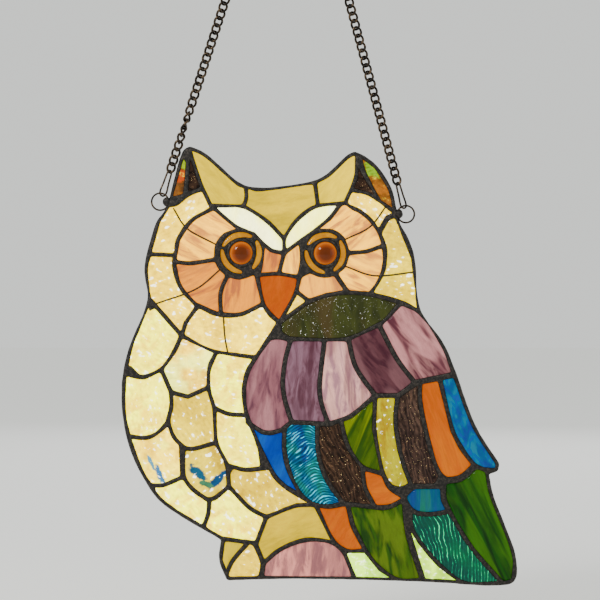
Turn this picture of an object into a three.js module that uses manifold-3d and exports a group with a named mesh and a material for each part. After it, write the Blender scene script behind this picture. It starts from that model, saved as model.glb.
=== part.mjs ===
// Hanging stained glass panel in the shape of an owl, made the copper foil way.
// Panes of sheet glass stand edge to edge in one solder network, whose beads lap over both
// faces of every pane. Two glass cabochons in amber rings are the eyes. The panel hangs from
// a wire ring by two strands of curb chain, each hooked by a wire clip to a ring that is
// soldered to the panel's edge.
// Millimetres. X runs across the panel, Z is up, and the front looks along -Y. The points
// below are (x, z) with z counted from the panel's base line. The finished part is then
// lowered so that its origin is at the top of the hanging ring's hole, where it hangs.

import * as THREE from 'three';
import { mergeVertices } from 'three/addons/utils/BufferGeometryUtils.js';
import Module from 'manifold-3d';

const wasm = await Module();
wasm.setup();

// Sheet glass, solder and wire
const GLASS = 2.6;        // thickness of the sheet glass
const GAP = 0.3;          // clearance between two separate pieces
const RISE = 0.8;         // height of a bead over its foot
const LAP = 0.25;         // how far a bead laps over a pane's edge
const GROOVE = 1.15;      // depth of the groove under a bead's edge
const EDGE = 2.2;         // width of the bead along the panel's edge
const CHORD = 1.0;        // how far a straight stretch may leave a true curve
const SMALLEST = 8;       // area of the smallest opening in the solder
const REACH = 1.0;        // how far a seam runs on into the bead that it meets
const WIRE = 1.1;         // rings and clips
const FOOT = GLASS / 2 + GAP;
const DEPTH = 2 * (FOOT + RISE);

// Hanging ring, where the two straight strands meet
const HANG_RING = { centre: [0, 553], radius: 6.8, wire: 1.4 };
const DROP = HANG_RING.centre[1] + HANG_RING.radius - HANG_RING.wire / 2;

// Rings soldered to the panel's edge, each with the drop of solder that holds it and the turns
// of its strand: where along it a half twist lies, if it has one
const SIDE_RING = 5.95;
const RINGS = {
  left: { centre: [-93, 265.5], solder: [-88.2, 265.3], twist: 57 },
  right: { centre: [79, 256.8], solder: [73.9, 257], twist: null },
};

// Wire clips and curb chain, sizes over all but for the clip's half widths
const CLIP = { length: 19.8, foot: 2.9, head: 1.8 };
const LINK = { length: 8.4, width: 6, wire: 1.5, pitch: 5.35 };
const TWIST_RUN = 52;     // length of chain that a half twist takes
const TURN_RUN = 40;      // and the quarter turn below the hanging ring
const LINK_SECTION = 1.8; // across the corners of a link's three-sided wire
const BITE = 0.1;         // how far two wires that bear on each other overlap

// The eyes: a cabochon in an amber ring, under a solder plate with three crescent windows
const EYES = {
  left: { gem: [-36.3, 229.6], plate: [-37.5, 228.9, 18], windows: [[55, 161], [168, 274], [-55, 40]] },
  right: { gem: [22.5, 229.4], plate: [22.3, 229.6, 17.4], windows: [[52, 156], [170, 270], [-65, 42]] },
};
const GEM = 8.6;
const AMBER = { inner: 9.2, outer: 15.4 };
const WINDOW = { inner: 10.6, outer: 14.7, taper: 2.0 };

// The panel's edge, corner to corner, clockwise from the left ear's tip
const OUTLINE = [
  [[-72, 304], [-64, 300.8], [-44.5, 284], [-34, 276.6], [-24, 275], [-5, 277.8], [9, 278.4], [21, 282.6],
    [33, 292.6], [39, 298.4], [43.4, 300.4]],
  [[43.4, 300.4], [52, 295.9], [62.3, 286], [68.7, 274.2], [72.5, 261], [74.2, 251.1], [80.5, 239.2],
    [85.6, 222], [86.6, 205], [87.2, 196.6], [89.8, 187.7]],
  [[89.8, 187.7], [98.9, 175.8], [107.3, 161.8], [116.4, 138.7], [129.4, 104.6], [143.2, 83.9],
    [144.7, 79.3], [142.6, 76.6], [136.8, 75]],
  [[136.8, 75], [137.8, 67.1], [145.5, 44.8], [152.4, 28.7], [156.4, 11], [155, 0.6], [151.5, -1.9]],
  [[151.5, -1.9], [133.2, -2.7], [98.7, -0.4], [45, 0], [-0.5, 2], [-46, 0.9]],
  [[-46, 0.9], [-50.4, 10], [-51.6, 19.5], [-49.8, 29]],
  [[-49.8, 29], [-63.4, 37.3], [-83.7, 49.2], [-95.6, 59], [-104.7, 73], [-113.1, 90.5], [-118.7, 115],
    [-119.2, 140], [-113.1, 167.4], [-104, 188], [-101.3, 199]],
  [[-101.3, 199], [-103.6, 219], [-99.4, 237.8], [-94.9, 251.8], [-90, 257.6], [-86.8, 268.6],
    [-83, 284], [-77.4, 298.7], [-75, 302.6], [-72, 304]],
];

// Seams between panes, by part of the bird, with the width of their beads.
// A seam may give its own width after its points.
const DISC_LEFT = { centre: [-45, 224], radius: 38.3 };
const DISC_RIGHT = { centre: [27, 227], radius: 37.4 };
const SEAMS = {
  ears: {
    bead: 2.8,
    lines: {
      ear_left_fold: [[-72.5, 301.5], [-68.3, 288.2], [-63.4, 274.9], [-57.8, 263]],
      ear_left_rim: [[-73.4, 293], [-74.6, 283], [-75, 271.5], 3.4],
      ear_left_base: [[-63.2, 274.6], [-73.2, 270.7], [-82.3, 263.9], [-87.5, 263], 3.2],
      crown_left: [[-33, 276], [-32.6, 268], [-34.4, 262.5]],
      crown_right: [[15.3, 279.5], [15.7, 270], [17.4, 263]],
      ear_right_fold: [[45, 299.5], [44.8, 287], [41.9, 275.6], [36.6, 264.5]],
      ear_right_rim: [[46, 297.5], [49, 286.5], [55, 277.5], [60.9, 267.2], 3.8],
      ear_right_base: [[42.3, 273.4], [50.4, 272.1], [61.6, 265.1], [72.3, 257.4]],
      side_left: [[-102.5, 228.8], [-93.5, 228.3], [-83.2, 228]],
      side_right: [[72.5, 256.5], [67, 255], [60.9, 245], 3.8],
    },
  },
  face: {
    bead: 2.8,
    lines: {
      disc_left: arc(DISC_LEFT, 108, 307),
      disc_right: arc(DISC_RIGHT, 73, -46),
      brow_left_top: [[-57.4, 262.6], [-34.4, 262], [-20.4, 253.5], [-10.2, 244.4], [-6.2, 239.4]],
      brow_right_top: [[-6.2, 239.4], [2, 251.8], [14.6, 261.6], [27.2, 264.2], [37.5, 264.5]],
      brow_left_low: [[-56.4, 261.9], [-47.3, 253.9], [-38.2, 247], [-27.4, 242.7], [-15.5, 231.6],
        [-6.2, 229.4]],
      brow_right_low: [[-6.2, 229.4], [4.1, 237.1], [14.6, 246.2], [25.1, 253.2], [33.5, 264]],
      brow_middle: [[-6.2, 239.4], [-6, 229.4]],
      bridge: [[-6.2, 229.4], [-8.5, 221], [-9.9, 215]],
      beak_top: [[-24.6, 214.2], [-10, 215.1], [4.4, 212.6]],
      beak_left: [[-24.9, 214.2], [-23.9, 204.5], [-18.3, 189.1], [-9.6, 180.9]],
      beak_right: [[4.4, 212.6], [2.7, 203.4], [-3.4, 191.9], [-9.2, 181]],
      bridge_left: [[-21, 221], [-25.6, 213.4], 3.4],
      bridge_right: [[5.6, 237], [6.6, 224], [4.4, 212.6], 3.4],
      cheek: [[2.6, 202.4], [7, 199.4], [11, 196]],
      disc_left_upper: [[-83, 223.4], [-72, 222.4], [-54.5, 225]],
      disc_left_lower: [[-46, 213.5], [-50.6, 202], [-50.4, 186]],
      disc_right_upper: [[38, 229.4], [51.8, 230.8], [64.2, 235]],
      disc_right_lower: [[30.3, 214], [34, 207], [38.5, 201.8], 3.2],
    },
  },
  breast: {
    bead: 3.0,
    lines: {
      neck: [[-101.3, 198.5], [-95.6, 193.3], [-85.8, 179.3], [-78, 171.9]],
      chin_side: [[-67, 192], [-74.9, 180.7], [-77.8, 171.9]],
      chin_low: [[-78, 171.9], [-64.8, 163.9], [-51.5, 159.7], [-27, 156.6]],
      breast_a_b: [[-78, 171.9], [-81.5, 163.5], [-92.1, 148.1]],
      breast_a_d: [[-118.5, 145.2], [-111, 142.9], [-103, 143.1], [-92.1, 148.1]],
      breast_b_d: [[-92.1, 148.1], [-88.6, 138.7], [-85.4, 132.4]],
      breast_b_e: [[-85.4, 132.4], [-76, 128.9], [-66, 131.5], [-58.6, 135.8]],
      breast_b_c: [[-53.8, 159.9], [-58.8, 147.8], [-58.8, 133.8], [-55, 121.2]],
      breast_c_f: [[-55, 121.2], [-45, 117], [-34, 116.2]],
      breast_d_e: [[-85.4, 132.4], [-85.1, 122], [-87.2, 112]],
      breast_d_g: [[-117, 101.8], [-104, 100.3], [-95, 103.3], [-87.2, 112]],
      breast_e_h: [[-87.2, 112], [-82.5, 99.5], [-75, 92.7], [-65.5, 93.6], [-53.6, 97]],
      breast_e_f: [[-55, 121.2], [-55, 108], [-53.6, 97]],
      breast_g_h: [[-77.6, 94], [-77.7, 83], [-76.7, 73], 4.4],
      breast_g_j: [[-101.5, 66.8], [-91, 67.2], [-84.4, 70.9], [-76.7, 73]],
      breast_h_j: [[-76.7, 73], [-70.4, 64.6], [-58.5, 56.9], [-44.8, 66.3]],
      breast_f_h: [[-53.6, 97], [-49.5, 88.5], [-45.2, 79.5], [-44.8, 66.3]],
      breast_f_i: [[-45.2, 81], [-36.1, 78.2], [-27, 78.2], [-16.5, 79.4]],
      breast_i_k: [[-44.8, 66.3], [-38.2, 59], [-28.4, 49.9], [-18.7, 44.9]],
      breast_j_k: [[-58.5, 56.9], [-59.3, 47], [-62.8, 37.5]],
      breast_k_low: [[-50, 29.8], [-37.5, 28], [-25.6, 26.6]],
      breast_k_right: [[-18.7, 44.9], [-23.4, 34.9], [-25.6, 26.6]],
    },
  },
  base: {
    bead: 3.0,
    lines: {
      arch_top: [[-18.7, 44.9], [-8, 49], [4, 53.4], [15.6, 53.5]],
      foot_fold: [[-47.2, 4], [-42.5, 13.9], [-31.5, 26.8]],
      foot_side: [[-26.6, 26.6], [-25, 20], [-20.9, 12.4], [-22.4, 2.5], 3.8],
      base_arch: [[-20.9, 12.4], [-11, 20.9], [3, 27.5], [15, 29.2], [27.5, 27.2], [36.6, 18.8], [43.3, 1.5]],
      arch_orange: [[16, 53], [22.6, 38.5], [29.5, 26.5], [38.5, 20.9], [50.5, 21.3]],
    },
  },
  wing: {
    bead: 3.2,
    lines: {
      wing_edge: [[-9.6, 180.9], [-19, 167.4], [-30.9, 148.5], [-34.6, 131], [-32.3, 114.9], [-25, 96],
        [-11, 71.3], [1.6, 61.5], [15.6, 53.5]],
      cap_top: [[-9.6, 180.9], [3.4, 191.2], [17.4, 198.3], [35, 201.9], [59, 200.2], [76, 194.8],
        [89, 187.9]],
      cap_low: [[-9.8, 180.5], [-9.6, 174], [-4, 170], [10.4, 169.1], [37.7, 169.3], [51, 174.7],
        [65, 182.3], [75.5, 194.8]],
      purple_1_top: [[-18, 170], [-10, 170.8], [-4, 169.4]],
      purple_1_2: [[-1.5, 169.5], [-5.7, 153.4], [-7.1, 134.5], [-1, 111.3]],
      purple_2_3: [[22, 168.8], [18.6, 143], [19.6, 126], [24.8, 109.8]],
      purple_3_4: [[38.5, 169.4], [42.3, 153.5], [50, 139], [57.6, 129.8]],
      purple_4_5: [[60.2, 179.2], [66.7, 166.4], [74, 153.5], [85.3, 138.8]],
      purple_1_low: [[-31.5, 110.8], [-20, 104], [-9, 105.2], [-1, 111.3]],
      purple_2_low: [[-1, 111.3], [10, 111.4], [24.8, 109.8]],
      purple_3_low: [[24.8, 109.8], [37.4, 113.8], [57.6, 129.8]],
      purple_4_low: [[57.6, 129.8], [73.8, 129.9], [85.3, 138.8]],
      purple_5_low: [[85.3, 138.8], [98.2, 141.3], [114.5, 144.8], 4],
      blue_teal: [[-5.8, 106], [-6, 91], [-1.2, 72.5], [8, 57.5]],
      teal_brown: [[17.1, 110.5], [17.9, 88], [24, 70.6], [35, 54.6]],
      orange_3_top: [[15.6, 53.5], [25, 52.3], [36.5, 54.5]],
      brown_green: [[33.5, 111.8], [39.5, 92], [49, 79.6], [63, 75]],
      brown_orange: [[48.3, 80], [50.4, 65.4], [57, 52.6]],
      green_yellow: [[57.5, 129.8], [56.5, 112], [58.2, 98], [63, 75]],
      orange_2_top: [[63, 75], [68.5, 65.6], [77, 59.4]],
      yellow_low: [[67.5, 66.3], [75, 64.7], [82.6, 67.2]],
      yellow_brown: [[73.1, 129.8], [71.7, 112], [75.8, 86.8], [82.6, 67.2]],
      brown_orange_1: [[89, 139.6], [88.8, 127], [93, 104], [99, 83], [104.8, 70]],
      teal_small_top: [[77, 59.4], [83, 66], [93, 67], [105, 66.6], 3.8],
      orange_1_low: [[104.9, 70], [114, 70.8], [121.5, 74.8], [127.3, 80.6], 4.6],
      orange_1_blue: [[102.4, 142.4], [106.6, 121.9], [111.7, 105], [118.6, 92], [127.3, 80.9]],
      blue_2_low: [[127.3, 80.9], [133.2, 78.2], [143, 77.3]],
      green_3_left: [[104.9, 69.5], [105.6, 57], [109.8, 48.6], 4.2],
      teal_small_low: [[77, 59.4], [84, 48.9], [95, 46.9], [109.8, 48.8]],
      orange_2_low: [[36.5, 54.3], [46, 52.2], [66, 51.8], [77.4, 57]],
      green_2_left: [[38.2, 54], [39.6, 45.4], [45, 32], [55, 14.9], [65, 5.5], [74, 0.5]],
      green_2_right: [[77.8, 58], [79.2, 40], [84.9, 18], [91, 0.5], 4],
      pale_teal: [[80, 52], [83, 37], [91, 24.5], [104, 10], [119, -1]],
      teal_green: [[109.8, 48.8], [120.2, 30.2], [133.2, 13.4], [146.5, -1.5]],
    },
  },
};

// Seams whose two panes of like glass are left as one solid under the bead
const UNCUT = ['disc_left_upper', 'disc_left_lower', 'disc_right_upper', 'disc_right_lower', 'bridge',
  'side_left', 'side_right', 'breast_a_d', 'breast_b_e', 'breast_c_f', 'breast_j_k'];

// Corners that the solder fills from face to face
const FILLS = [
  [[-101.5, 200], [-95, 192.6], [-100.5, 188.5]],
  [[-118, 150], [-113, 150.5], [-107, 144], [-107, 141.8], [-118, 144]],
  [[-76.5, 303], [-70.5, 302], [-72.6, 291], [-76.4, 294]],
  [[-89, 262], [-87.5, 268], [-79, 270.4], [-73, 271.8], [-82, 262.6]],
  [[-17.5, 170], [-10, 179], [-6, 170.5]],
  [[-25.8, 99], [-16.6, 79.6], [-23, 79.6]],
  [[-91, 108.2], [-85.5, 108.2], [-87, 117]],
  [[-48.5, 84], [-41, 80.6], [-44, 74], [-46, 74]],
  [[98.5, 69], [104, 77], [109, 71], [106, 66], [101, 67.5]],
  [[76.5, 61.5], [80.5, 57], [84, 46], [81, 40], [77, 55]],
  [[69, 65.4], [76, 65.4], [83, 66.8], [77, 59.6]],
  [[-40, 247], [-30, 244.5], [-24, 240], [-36, 244]],
  [[-26, 242], [-20, 236], [-19.2, 231.5], [-25, 236]],
  [[4.6, 236], [10.5, 243], [12, 240], [7, 232]],
  [[3.6, 212], [8, 219], [13, 214], [8, 212.6]],
];

// Panes: a point inside each, and its glass
const PANES = {
  ear_left_front: [[-56, 276], 'mustard'],
  ear_left_outer: [[-79, 281], 'moss'],
  ear_left_inner: [[-70, 278], 'umber'],
  crown: [[-8, 265], 'gold'],
  ear_right_front: [[31, 278], 'mustard'],
  ear_right_inner: [[47.5, 277], 'umber'],
  ear_right_outer: [[61, 276], 'moss'],
  side_left: [[-92, 215], 'cream'],
  side_right: [[73, 220], 'cream'],
  chin: [[-47, 172], 'cream'],
  disc_left: [[-66, 235], 'peach'],
  disc_right: [[52, 220], 'peach'],
  bridge: [[-15, 222], 'peach'],
  brow_left: [[-25, 249], 'white'],
  brow_right: [[12, 253], 'white'],
  beak: [[-10, 203], 'orange'],
  cheek: [[2.5, 196], 'cream'],
  wing_cap: [[30, 184], 'olive'],
  purple_1: [[-20, 135], 'mauve'],
  purple_2: [[6, 140], 'mauve'],
  purple_3: [[30, 140], 'mauve'],
  purple_4: [[55, 155], 'mauve'],
  purple_5: [[88, 160], 'mauve'],
  blue_1: [[-14, 90], 'blue'],
  teal_1: [[6, 85], 'teal'],
  brown_1: [[28, 85], 'umber'],
  green_1: [[50, 100], 'green'],
  yellow_1: [[66, 100], 'gold'],
  brown_2: [[81, 105], 'umber'],
  orange_1: [[98, 110], 'orange'],
  blue_2: [[118, 110], 'blue'],
  orange_2: [[60, 64], 'orange'],
  teal_small: [[92, 57], 'teal'],
  orange_3: [[31, 40], 'orange'],
  green_2: [[60, 35], 'green'],
  teal_2: [[105, 30], 'teal'],
  green_3: [[125, 55], 'green'],
  pale_1: [[50, 10], 'pale'],
  pale_2: [[95, 10], 'pale'],
  breast_a: [[-100, 165], 'cream'],
  breast_b: [[-72, 150], 'cream'],
  breast_c: [[-45, 140], 'cream'],
  breast_g: [[-95, 85], 'cream'],
  breast_h: [[-62, 80], 'gold'],
  breast_i: [[-25, 62], 'gold'],
  breast_j: [[-75, 57], 'cream'],
  foot_yellow: [[-46, 20], 'mustard'],
  foot_orange: [[-34, 12], 'gold'],
  arch_yellow: [[-5, 38], 'mustard'],
  base_purple: [[10, 15], 'mauve'],
};

const COLOURS = {
  cream: 0xf3e2a6,
  mustard: 0xdebe55,
  gold: 0xf2c45c,
  white: 0xf2ecdc,
  peach: 0xdf9f72,
  orange: 0xe86a0a,
  olive: 0x4f4f22,
  mauve: 0x94646e,
  blue: 0x0864b4,
  teal: 0x048087,
  umber: 0x4e3224,
  green: 0x3f6a0c,
  moss: 0x8a7d22,
  pale: 0xd8e2ae,
  amber: 0xe19b0f,
};

// Curves

function arc({ centre: [x, z], radius }, from, to) {
  const steps = 12;
  return Array.from({ length: steps + 1 }, (_, i) => {
    const angle = THREE.MathUtils.degToRad(from + ((to - from) * i) / steps);
    return [x + radius * Math.cos(angle), z + radius * Math.sin(angle)];
  });
}

// Drops the points that a straight stretch passes within CHORD of
function thin(points) {
  const last = points.length - 1;
  const base = points[last].clone().sub(points[0]);
  const off = points.map((p) => Math.abs(p.clone().sub(points[0]).cross(base)) / base.length());
  const far = off.indexOf(Math.max(...off));
  if (off[far] < CHORD || last < 2) return [points[0], points[last]];
  return [...thin(points.slice(0, far + 1)).slice(0, -1), ...thin(points.slice(far))];
}

function smooth(points) {
  const path = points.map(([x, z]) => new THREE.Vector3(x, z, 0));
  const dense = new THREE.CatmullRomCurve3(path, false, 'centripetal').getPoints(8 * (path.length - 1));
  return thin(dense.map((p) => new THREE.Vector2(p.x, p.y)));
}

// Moves each point of a path sideways, to the right of its travel
function beside(points, distance, closed = false) {
  const n = points.length;
  return points.map((p, i) => {
    const before = points[closed ? (i + n - 1) % n : Math.max(i - 1, 0)];
    const after = points[closed ? (i + 1) % n : Math.min(i + 1, n - 1)];
    const sides = [[before, p], [p, after]].map(([a, b]) => b.clone().sub(a).normalize());
    const mitre = sides[0].clone().add(sides[1]).normalize();
    const stretch = 1 / Math.max(mitre.dot(sides[0].lengthSq() ? sides[0] : sides[1]), 0.4);
    return p.clone().add(new THREE.Vector2(mitre.y, -mitre.x).multiplyScalar(distance * stretch));
  });
}

// Outline of a seam's strip, run on at both ends
function strip(points, width, reach = REACH) {
  const path = points.map((p) => p.clone());
  const n = path.length;
  const run = (end, next) => end.add(end.clone().sub(next).setLength(reach));
  run(path[0], points[1]);
  run(path[n - 1], points[n - 2]);
  return [...beside(path, width / 2), ...beside(path, -width / 2).reverse()];
}

// Solids

function toSolid(geometry) {
  geometry.deleteAttribute('normal');
  geometry.deleteAttribute('uv');
  const welded = mergeVertices(geometry, 1e-4);
  const mesh = new wasm.Mesh({
    numProp: 3,
    vertProperties: new Float32Array(welded.attributes.position.array),
    triVerts: new Uint32Array(welded.index.array),
  });
  return new wasm.Manifold(mesh);
}

function toGeometry(solid) {
  const { vertProperties, triVerts } = solid.getMesh();
  const geometry = new THREE.BufferGeometry();
  geometry.setAttribute('position', new THREE.BufferAttribute(new Float32Array(vertProperties), 3));
  geometry.setIndex(new THREE.BufferAttribute(new Uint32Array(triVerts), 1));
  geometry.computeVertexNormals();
  return geometry;
}

const join = (solids) => solids.reduce((all, one) => all.add(one));

// A flat shape of the given thickness, centred on the panel's middle plane
function slab(outline, thickness, hole = null) {
  const shape = new THREE.Shape(outline);
  if (hole) shape.holes.push(new THREE.Path(hole));
  const geometry = new THREE.ExtrudeGeometry(shape, { depth: thickness, bevelEnabled: false });
  geometry.rotateX(Math.PI / 2);
  geometry.translate(0, thickness / 2, 0);
  return toSolid(geometry);
}

// Moves the middle layer of a two-step slab outwards, so that its edge is a ridge
function ridged(loop, thickness, ridge) {
  const geometry = new THREE.ExtrudeGeometry(new THREE.Shape(loop), {
    depth: thickness, steps: 2, bevelEnabled: false,
  });
  const wide = beside(loop, -ridge, true);
  const position = geometry.attributes.position;
  for (let i = 0; i < position.count; i++) {
    if (Math.abs(position.getZ(i) - thickness / 2) > 0.01) continue;
    const at = new THREE.Vector2(position.getX(i), position.getY(i));
    const k = loop.findIndex((p) => p.distanceTo(at) < 0.001);
    position.setXY(i, wide[k].x, wide[k].y);
  }
  geometry.rotateX(Math.PI / 2);
  geometry.translate(0, thickness / 2, 0);
  return toSolid(geometry);
}

function circle([x, z], radius, sides = 24) {
  return Array.from({ length: sides }, (_, i) => {
    const angle = (2 * Math.PI * i) / sides;
    return new THREE.Vector2(x + radius * Math.cos(angle), z + radius * Math.sin(angle));
  });
}

// Panel

const edge = OUTLINE.flatMap((stretch) => smooth(stretch).slice(0, -1));
const inset = (distance) => beside(edge, distance, true);

const seams = Object.values(SEAMS).flatMap(({ bead: usual, lines }) =>
  Object.entries(lines).map(([name, line]) => {
    const own = typeof line.at(-1) === 'number';
    return { name, points: smooth(own ? line.slice(0, -1) : line), width: own ? line.at(-1) : usual };
  }));
const uncut = seams.filter(({ name }) => UNCUT.includes(name));

// The outline of a solid's front face, clockwise
function faceOutline(solid) {
  const { vertProperties: v, triVerts: t } = solid.getMesh();
  const next = new Map();
  for (let i = 0; i < t.length; i += 3) {
    const corners = [t[i], t[i + 1], t[i + 2]];
    if (corners.some((c) => Math.abs(v[3 * c + 1] + GLASS / 2) > 0.01)) continue;
    corners.forEach((c, k) => {
      const to = corners[(k + 1) % 3];
      if (next.get(to)?.has(c)) next.get(to).delete(c);
      else next.set(c, (next.get(c) ?? new Set()).add(to));
    });
  }
  const start = [...next.keys()].find((c) => next.get(c).size);
  const loop = [start];
  for (let at = [...next.get(start)][0]; at !== start; at = [...next.get(at)][0]) loop.push(at);
  return loop.map((c) => new THREE.Vector2(v[3 * c], v[3 * c + 2]));
}

// Straightens a closed outline between its two points that lie furthest apart
function thinLoop(loop) {
  const far = (from) => loop.reduce((best, p, i) =>
    (p.distanceTo(loop[from]) > loop[best].distanceTo(loop[from]) ? i : best), 0);
  const a = far(0);
  const b = far(a);
  const turned = [...loop.slice(a), ...loop.slice(0, a)];
  const half = (b - a + loop.length) % loop.length;
  const sides = [turned.slice(0, half + 1), [...turned.slice(half), turned[0]]];
  return sides.flatMap((side) => thin(side).slice(0, -1));
}

// Outlines of what the solder leaves open
function openOutlines() {
  const solder = join([
    ...seams.map(({ points, width }) => strip(points, width)),
    ...FILLS.map((fill) => fill.map(([x, z]) => new THREE.Vector2(x, z))),
    ...Object.values(EYES).map(({ plate: [x, z, r] }) => circle([x, z], r, 20)),
  ].map((outline) => slab(outline, 2 * GLASS)));
  return slab(inset(EDGE), GLASS).subtract(solder).decompose()
    .filter((pane) => pane.volume() > GLASS * SMALLEST)
    .map((pane) => thinLoop(faceOutline(pane)))
    .map((loop) => (THREE.ShapeUtils.isClockWise(loop) ? loop : loop.reverse()));
}

// A crescent window between two angles, pointed at both ends
function crescent([x, z], [from, to]) {
  const steps = 4;
  const side = (radius) => Array.from({ length: steps + 1 }, (_, i) => {
    const along = i / steps;
    const angle = THREE.MathUtils.degToRad(from + (to - from) * along);
    const r = radius(2 * along - 1);
    return new THREE.Vector2(x + r * Math.cos(angle), z + r * Math.sin(angle));
  });
  const outer = side(() => WINDOW.outer);
  const inner = side((u) => WINDOW.inner + WINDOW.taper * u * u);
  return [...outer, ...inner.reverse()];
}

// Domed cabochon, flat behind and widest inside the sheet
function gem([x, z]) {
  const profile = [[0, -5.9], [5, -4.8], [7.7, -2.8], [GEM, 0], [7.2, 2.2], [0, 2.2]];
  const geometry = new THREE.LatheGeometry(profile.map(([r, y]) => new THREE.Vector2(r, y)), 12);
  return toSolid(geometry.translate(x, 0, z));
}

function amberRing(centre) {
  return slab(circle(centre, AMBER.outer, 14), GLASS, circle(centre, AMBER.inner, 14));
}

function ring([x, z], radius, wire) {
  const geometry = new THREE.TorusGeometry(radius, wire / 2, 4, 14);
  geometry.rotateX(Math.PI / 2);
  geometry.translate(x, 0, z);
  return toSolid(geometry);
}

// Drop of solder that holds a ring to the panel's edge
function drop([x, z]) {
  const geometry = new THREE.SphereGeometry(1, 7, 4);
  geometry.scale(3, 2.3, 3.4);
  geometry.translate(x, 0, z);
  return toSolid(geometry);
}

function leading(openings) {
  const plate = slab(edge, DEPTH - 0.02);
  const grooved = openings.map((loop) => ridged(loop, DEPTH, GROOVE));
  const passes = uncut.map(({ points, width }) =>
    slab(strip(points, width + 1, LAP + GAP - width / 2), 2 * FOOT));
  const eyes = Object.values(EYES);
  const windows = eyes.flatMap((eye) => eye.windows.map((span) => slab(crescent(eye.gem, span), 12)));
  const seats = eyes.flatMap((eye) => [
    slab(circle(eye.gem, GEM + GAP, 12), 12),
    slab(circle(eye.gem, AMBER.outer + GAP, 14), 2 * FOOT),
  ]);
  const drops = Object.values(RINGS).map(({ solder }) => drop(solder));
  const holes = Object.values(RINGS).map(({ centre }) => ring(centre, SIDE_RING, WIRE + 2 * GAP));
  return plate
    .subtract(join([...grooved, ...passes]))
    .add(join(drops))
    .subtract(join([...windows, ...seats, ...holes]));
}

// The panes, each a little larger than its opening
function glass(openings) {
  const sheets = openings.map((loop) => slab(beside(loop, -LAP, true), GLASS));
  const bridges = uncut.map(({ points, width }) => slab(strip(points, width, LAP - width / 2), GLASS));
  return join([...sheets, ...bridges]).decompose();
}

// One link of the curb chain: a long ring, twisted a quarter turn from end to end
class LinkCurve extends THREE.Curve {
  constructor(length, width) {
    super();
    Object.assign(this, { length, width });
  }

  getPoint(t, target = new THREE.Vector3()) {
    const angle = 2 * Math.PI * (t + 0.125);
    const along = (this.length / 2) * Math.sin(angle) * Math.SQRT2;
    const across = (this.width / 2) * Math.cos(angle) * Math.SQRT2;
    const twist = (Math.PI / 4) * (along / this.length) * 2;
    return target.set(across * Math.cos(twist), across * Math.sin(twist), along);
  }
}

// The straight line that a strand hangs on, from its side ring's centre to the hanging ring's
function strandLine({ centre }) {
  const from = new THREE.Vector3(centre[0], 0, centre[1]);
  const to = new THREE.Vector3(HANG_RING.centre[0], 0, HANG_RING.centre[1]);
  const length = from.distanceTo(to);
  const along = to.sub(from).normalize();
  const lean = new THREE.Quaternion().setFromUnitVectors(new THREE.Vector3(0, 0, 1), along);
  const place = (geometry, distance, turn) => {
    geometry.rotateZ(turn);
    geometry.applyQuaternion(lean);
    const at = from.clone().addScaledVector(along, distance);
    return toSolid(geometry.translate(at.x, at.y, at.z));
  };
  return { length, place };
}

// Where a clip's foot and head lie on its strand
const CLIP_FOOT = SIDE_RING - WIRE - 2 * GAP;
const CLIP_HEAD = CLIP_FOOT + CLIP.length - WIRE;

// Long loop of wire around a side ring and the chain's first link
function clip(place) {
  const { foot, head } = CLIP;
  const tall = CLIP.length - WIRE;
  const half = [[0, 0], [foot, foot], [(foot + head) / 2, tall / 2], [head, tall - head], [0, tall]];
  const loop = [...half, ...half.slice(1, -1).reverse().map(([x, z]) => [-x, z])];
  const curve = new THREE.CatmullRomCurve3(loop.map(([x, z]) => new THREE.Vector3(x, 0, z)), true);
  return place(new THREE.TubeGeometry(curve, 10, WIRE / 2, 4, true), CLIP_FOOT, Math.PI / 4);
}

// A clip and its chain, as one solid that is joined where the wires bear on each other
function strand(side) {
  const { twist } = side;
  const { length, place } = strandLine(side);
  const half = (LINK.length - LINK.wire) / 2;
  const first = CLIP_HEAD - (WIRE + LINK.wire) / 2 + BITE + half;
  const last = length - HANG_RING.radius + (HANG_RING.wire + LINK.wire) / 2 + GAP - half;
  const steps = Math.floor((last - first) / LINK.pitch);
  const link = new LinkCurve(LINK.length - LINK.wire, LINK.width - LINK.wire);
  const { smoothstep } = THREE.MathUtils;
  return join([clip(place), ...Array.from({ length: steps + 1 }, (_, i) => {
    const at = first + ((last - first) * i) / steps;
    const half = twist ? Math.PI * smoothstep(at, twist - TWIST_RUN / 2, twist + TWIST_RUN / 2) : 0;
    const quarter = (Math.PI / 4) * smoothstep(at, last - TURN_RUN, last);
    return place(new THREE.TubeGeometry(link, 4, LINK_SECTION / 2, 3, true), at, half + quarter);
  })]);
}

// Part

const part = new THREE.Group();
part.position.z = -DROP;

function addPiece(name, solid, material) {
  const mesh = new THREE.Mesh(toGeometry(solid), material);
  mesh.name = name;
  part.add(mesh);
}

const solder = new THREE.MeshStandardMaterial({ color: 0x37302a, roughness: 0.45, metalness: 0.8 });
const bronze = new THREE.MeshStandardMaterial({ color: 0x4a3d2c, roughness: 0.4, metalness: 0.9 });
const glassOf = (colour) =>
  new THREE.MeshStandardMaterial({ color: COLOURS[colour], roughness: 0.15, metalness: 0 });

// True where a point lies inside an outline
function inside(loop, [x, z]) {
  return loop.reduce((within, p, i) => {
    const q = loop[(i + 1) % loop.length];
    const across = (p.y > z) !== (q.y > z) && x < p.x + ((z - p.y) / (q.y - p.y)) * (q.x - p.x);
    return across ? !within : within;
  }, false);
}

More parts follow.
